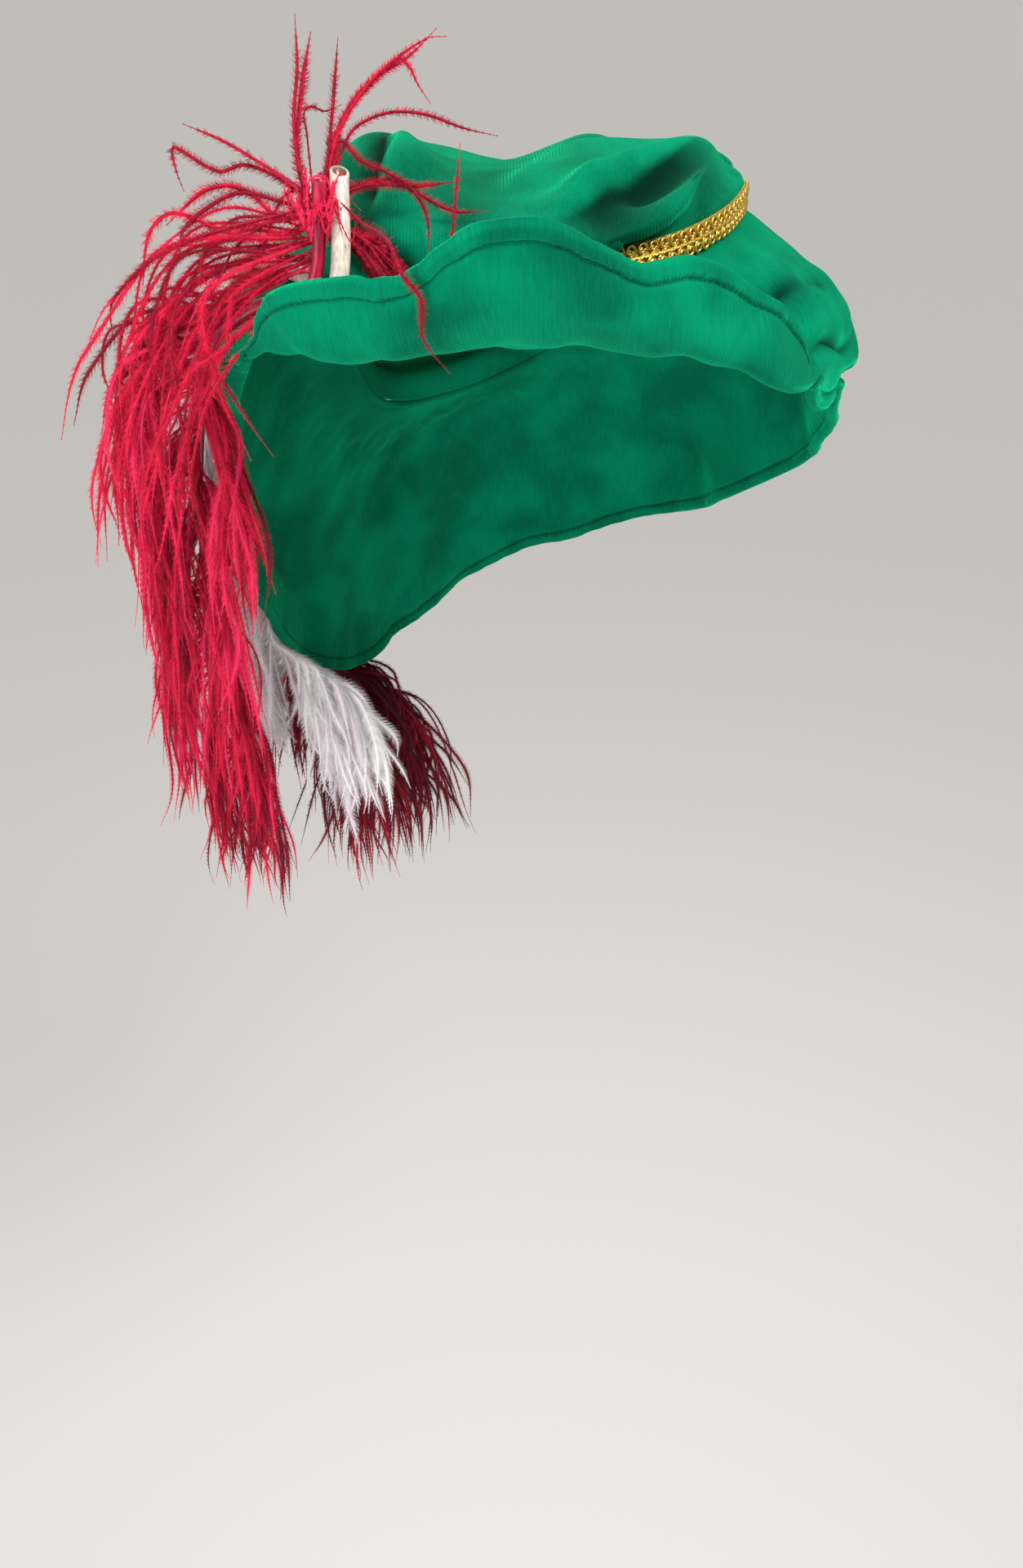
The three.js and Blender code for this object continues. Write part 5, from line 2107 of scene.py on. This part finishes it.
@dataclass
class SprayPlume(Plume):
    """The red plume, with a knot of short barbs and a spray of long herls at its quill's end."""

    reach: float = 0.060
    lean: float = 32.0
    knot_share: float = 0.035
    knot_barbs: int = 46
    inner_barbs: int = 34
    herl_points: int = 40
    herl_depths: tuple = (-0.05, 0.12)
    herl_shades: tuple = (0, 0.42)
    stray_shades: tuple = (0.1, 0.4)
    knot_shades: tuple = (0.4, 0.9)
    inner_shades: tuple = (0, 0.35)
    herl_breadth: float = 1.15
    knot_breadth: float = 0.55
    knot_turn: float = 2.4
    inner_way: tuple = ((0.012, 0.032), (-0.012, 0.002), (-0.018, -0.009))
    inner_bend: tuple = (0.6, 0.6, 0.35)
    spray_barbule: float = 0.0026
    spray_lean: tuple = (38, 62)

    def knot(self) -> ndarray:
        """Give the place where the spray leaves the quill."""
        shaft = self.form.shaft(self.brim)
        return shaft[round(self.knot_share * (len(shaft) - 1))]

    def spray(self, tree: NodeTree) -> Object:
        """Grow the long herls and the knot.

        Args:
            tree: The tree that turns lines into barbs.

        Returns:
            The spray.
        """
        random = np.random.default_rng(self.seed + 100)
        middle = self.knot()
        tilt = math.radians(self.lean)
        upward = np.array([0, math.sin(tilt), math.cos(tilt)])
        forward = np.array([0, -math.cos(tilt), math.sin(tilt)])
        strands = Strands()
        for route in SPRAY:
            depth = random.uniform(*self.herl_depths)
            start = np.linspace(0, 1, len(route))
            points = [
                middle + self.reach * (np.array([across, 0, 0]) + up * upward + depth * u * forward)
                for (across, up), u in zip(route, start)
            ]
            line = self.keep_clear(smooth_path(np.array(points), self.herl_points))
            strands.add(line, random.uniform(*self.herl_shades), random, self.herl_breadth)
        for line in self.strays(middle):
            strands.add(line, random.uniform(*self.stray_shades), random)
        for _ in range(self.knot_barbs):
            line = self.tangle(middle, upward, random)
            strands.add(line, random.uniform(*self.knot_shades), random, self.knot_breadth)
        # The inner barbs get the darkest shades: painted shade where they lie between the quills and the
        # crown.
        for _ in range(self.inner_barbs):
            line = self.inner(middle, random)
            strands.add(line, random.uniform(*self.inner_shades), random)
        return self.grow(f"{self.name}_spray", strands, tree, self.tuft(self.spray_barbule, self.spray_lean))

    def strays(self, middle: ndarray) -> list:
        """Draw two stray herls: one hangs over the front of the brim, one stands behind its edge."""
        below = -(self.brim.wall / 2 + 0.0035)
        over_edge = [
            middle + np.array([0.008, -0.004, 0.004]),
            middle + np.array([0.017, -0.03, 0.002]),
            self.brim.over(Rest(343, 1, 0), 0.004) + np.array([-0.001, 0, 0.006]),
            self.brim.over(Rest(345.5, 1, 0), below) + np.array([0, -0.002, 0.003]),
            self.brim.over(Rest(347.5, 0.92, 0), below),
            self.brim.over(Rest(347, 0.8, 0), below),
            self.brim.over(Rest(348.5, 0.62, 0), below - 0.003),
        ]
        foot = self.brim.over(Rest(350, 0.6, 0), 0.008)
        upright = [foot, foot + np.array([0.001, 0.004, 0.016]), foot + np.array([0.004, 0.012, 0.045])]
        return [smooth_path(np.array(over_edge), 44), smooth_path(np.array(upright), 24)]

    def inner(self, middle: ndarray, random: Generator) -> ndarray:
        """Draw one of the barbs that lie between the quills and the crown, dark with painted shade."""
        root = middle + np.array([0.005, 0.002, -0.006]) + random.normal(0, 0.0012, 3)
        way = np.array([random.uniform(*limits) for limits in self.inner_way])
        bend = root + way * np.array(self.inner_bend)
        return self.keep_clear(smooth_path(np.array([root, bend, root + way]), 16))

    def tangle(self, middle: ndarray, upward: ndarray, random: Generator) -> ndarray:
        """Draw one short barb of the knot, which loops round the quill."""
        turn = random.uniform(0, 2 * math.pi)
        way = random.uniform(-self.knot_turn, self.knot_turn)
        count = 5
        points = []
        for i in range(count):
            angle = turn + way * i / (count - 1)
            radius = self.reach * (0.05 + 0.14 * (i / (count - 1)) * random.uniform(0.6, 1.4))
            height = self.reach * random.normal(0.02, 0.09)
            aside = np.array([math.cos(angle), math.sin(angle), 0])
            points.append(middle + radius * aside + upward * height)
        return self.keep_clear(smooth_path(np.array(points), 18))


# The studio


@dataclass(frozen=True)
class Lamp:
    """A square soft light: its name, place, power in watts, the length of its side and its colour."""

    name: str
    place: tuple
    power: float
    size: float
    colour: tuple = (1, 1, 1)


LAMPS = (
    Lamp("key", (0.5, -0.6, 0.75), 13.5, 0.4, (1.0, 0.97, 0.93)),
    Lamp("fill", (-0.8, -0.55, 0.3), 3.0, 0.8),
    Lamp("low", (-0.3, -0.75, -0.25), 3.5, 0.5),
    Lamp("back", (-0.2, 0.7, 0.6), 3.0, 0.6),
)


@dataclass(frozen=True)
class Studio:
    """A pale floor, soft lights and the camera."""

    floor_height: float = -1.3
    floor_size: float = 500.0
    camera_place: tuple = (-0.0083, -0.560, 0.0705)
    camera_pitch: float = 32.0
    lens: float = 30.0
    target: tuple = (-0.02, -0.03, -0.08)

    def camera(self) -> None:
        """Set up the camera, in front of the hat and looking down at it."""
        data = bpy.data.cameras.new("camera")
        data.lens = self.lens
        data.sensor_width = 36.0
        data.clip_start = 0.01
        data.clip_end = 500.0
        made = bpy.data.objects.new("camera", data)
        made.location = self.camera_place
        made.rotation_euler = (math.radians(90 - self.camera_pitch), 0, 0)
        bpy.context.scene.collection.objects.link(made)
        bpy.context.scene.camera = made

    def floor(self) -> None:
        """Lay the floor."""
        made, nodes = new_material("pale floor")
        paint = (0.8, 0.78, 0.75, 1.0)
        nodes.surface({
            "Base Color": paint, "Emission Color": paint, "Emission Strength": 0.16, "Roughness": 0.9,
        })
        half = self.floor_size / 2
        corners = np.array([(-half, -half, 0), (half, -half, 0), (half, half, 0), (-half, half, 0)])
        corners[:, 2] = self.floor_height
        mesh_object("floor", corners, [(0, 1, 2, 3)], made)

    def light(self, lamp: Lamp) -> None:
        """Hang a lamp that points at the hat."""
        data = bpy.data.lights.new(lamp.name, "AREA")
        data.energy = lamp.power
        data.size = lamp.size
        data.color = lamp.colour
        made = bpy.data.objects.new(lamp.name, data)
        made.location = lamp.place
        aim = Vector(self.target) - Vector(lamp.place)
        made.rotation_euler = aim.to_track_quat("-Z", "Y").to_euler()
        bpy.context.scene.collection.objects.link(made)

    def build(self) -> None:
        """Set up the whole studio."""
        self.camera()
        self.floor()
        for lamp in LAMPS:
            self.light(lamp)
        world = bpy.data.worlds.new("pale room")
        world.use_nodes = True
        sky = world.node_tree.nodes["Background"]
        sky.inputs["Color"].default_value = (0.9, 0.89, 0.87, 1.0)
        sky.inputs["Strength"].default_value = 0.55
        bpy.context.scene.world = world
        bpy.context.scene.view_settings.view_transform = "Standard"


def cloth_tree(brim: Brim, crown: Crown) -> BVHTree:
    """Make the search tree of the cloth's upper faces, which barbs stay clear of.

    Args:
        brim: The brim.
        crown: The crown.

    Returns:
        The tree.
    """
    step = 4
    points = []
    faces = []
    start = 0
    grid, _, _ = brim.middle()
    for surface, turned in ((grid[::step, 1::2], False), (crown.outer()[::step, ::3], True)):
        around, rings = surface.shape[:2]
        points.append(surface.reshape(-1, 3))
        for i in range(around):
            here = start + i * rings
            after = start + ((i + 1) % around) * rings
            for j in range(rings - 1):
                face = (here + j, here + j + 1, after + j + 1, after + j)
                faces.append(tuple(reversed(face)) if turned else face)
        start += around * rings
    return BVHTree.FromPolygons(np.concatenate(points).tolist(), faces)


def report(*pieces: Object) -> None:
    """Say how many points each piece has."""
    for made in pieces:
        log.info("%s: %d points", made.name, len(made.data.vertices))


def main() -> None:
    """Build every sub-assembly in order, dress it and report it."""
    logging.basicConfig(level=logging.INFO, format="%(name)s: %(message)s")
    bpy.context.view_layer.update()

    pile = brushed_pile_group()
    dye = dyed_barb_group()
    repeat = repeat_tree()
    barbs = barb_tree()

    head = HeadOpening()
    crown = Crown(CrownForm(head), VelvetFinish("crown velvet", pile, Coordinates.FLAT))
    brim = Brim(
        BrimForm(head),
        VelvetFinish(
            "brim velvet", pile, Coordinates.SURFACE, deep=rgb(0, 104, 75), lit=rgb(0, 136, 98), hemmed=True,
        ),
        VelvetFinish("sewing thread", pile, Coordinates.FLAT, deep=rgb(0, 60, 42), lit=rgb(0, 90, 64)),
    )
    braid = BraidBand(head, BraidFinish("gilt braid"))
    crimson = BarbFinish(
        "crimson barbs", dye, rgb(112, 0, 28), rgb(206, 6, 52), rgb(240, 46, 96), (1.0, 0.25, 0.4, 1.0),
    )
    ivory = BarbFinish(
        "white barbs", dye, rgb(228, 216, 226), rgb(248, 243, 247), rgb(255, 254, 255), (1.0, 1.0, 1.0, 1.0),
    )
    # The back plume's barbs and quill are darker partly for their own deeper red and partly as painted
    # shade, since the plume hangs under the brim.
    shaded_wine = BarbFinish(
        "dark red barbs", dye, rgb(62, 0, 14), rgb(122, 0, 30), rgb(176, 10, 50), (1.0, 0.25, 0.4, 1.0),
    )

    report(crown.build(), brim.build(), brim.stitches(repeat), braid.tape_and_cord(), braid.loops(repeat))
    cloth = cloth_tree(brim, crown)
    red = SprayPlume(
        "red_plume", "red_plume", "red_feather", RED_FORM, brim.form, crimson,
        QuillFinish("crimson quill", rgb(214, 24, 78), rgb(150, 6, 44)), cloth, seed=7,
    )
    white = Plume(
        "white_plume", "white_plume", "white_feather", WHITE_FORM, brim.form, ivory,
        QuillFinish("white quill", rgb(238, 228, 222), rgb(204, 184, 170)), cloth, Cut.HOLLOW, seed=17,
        barbs_per_lock=32, barbule=0.0054, vane_width=0.0018,
    )
    back = Plume(
        "back_plume", "back_plume", "dark_red_feather", BACK_FORM, brim.form, shaded_wine,
        QuillFinish("dark red quill", rgb(120, 6, 36), rgb(80, 2, 22)), cloth, seed=27,
        barbs_per_lock=44, tip_spread=0.0105,
    )
    for plume in (red, white, back):
        report(*plume.build(barbs))
    report(red.spray(barbs))

    Studio().build()


if __name__ == "__main__":
    main()
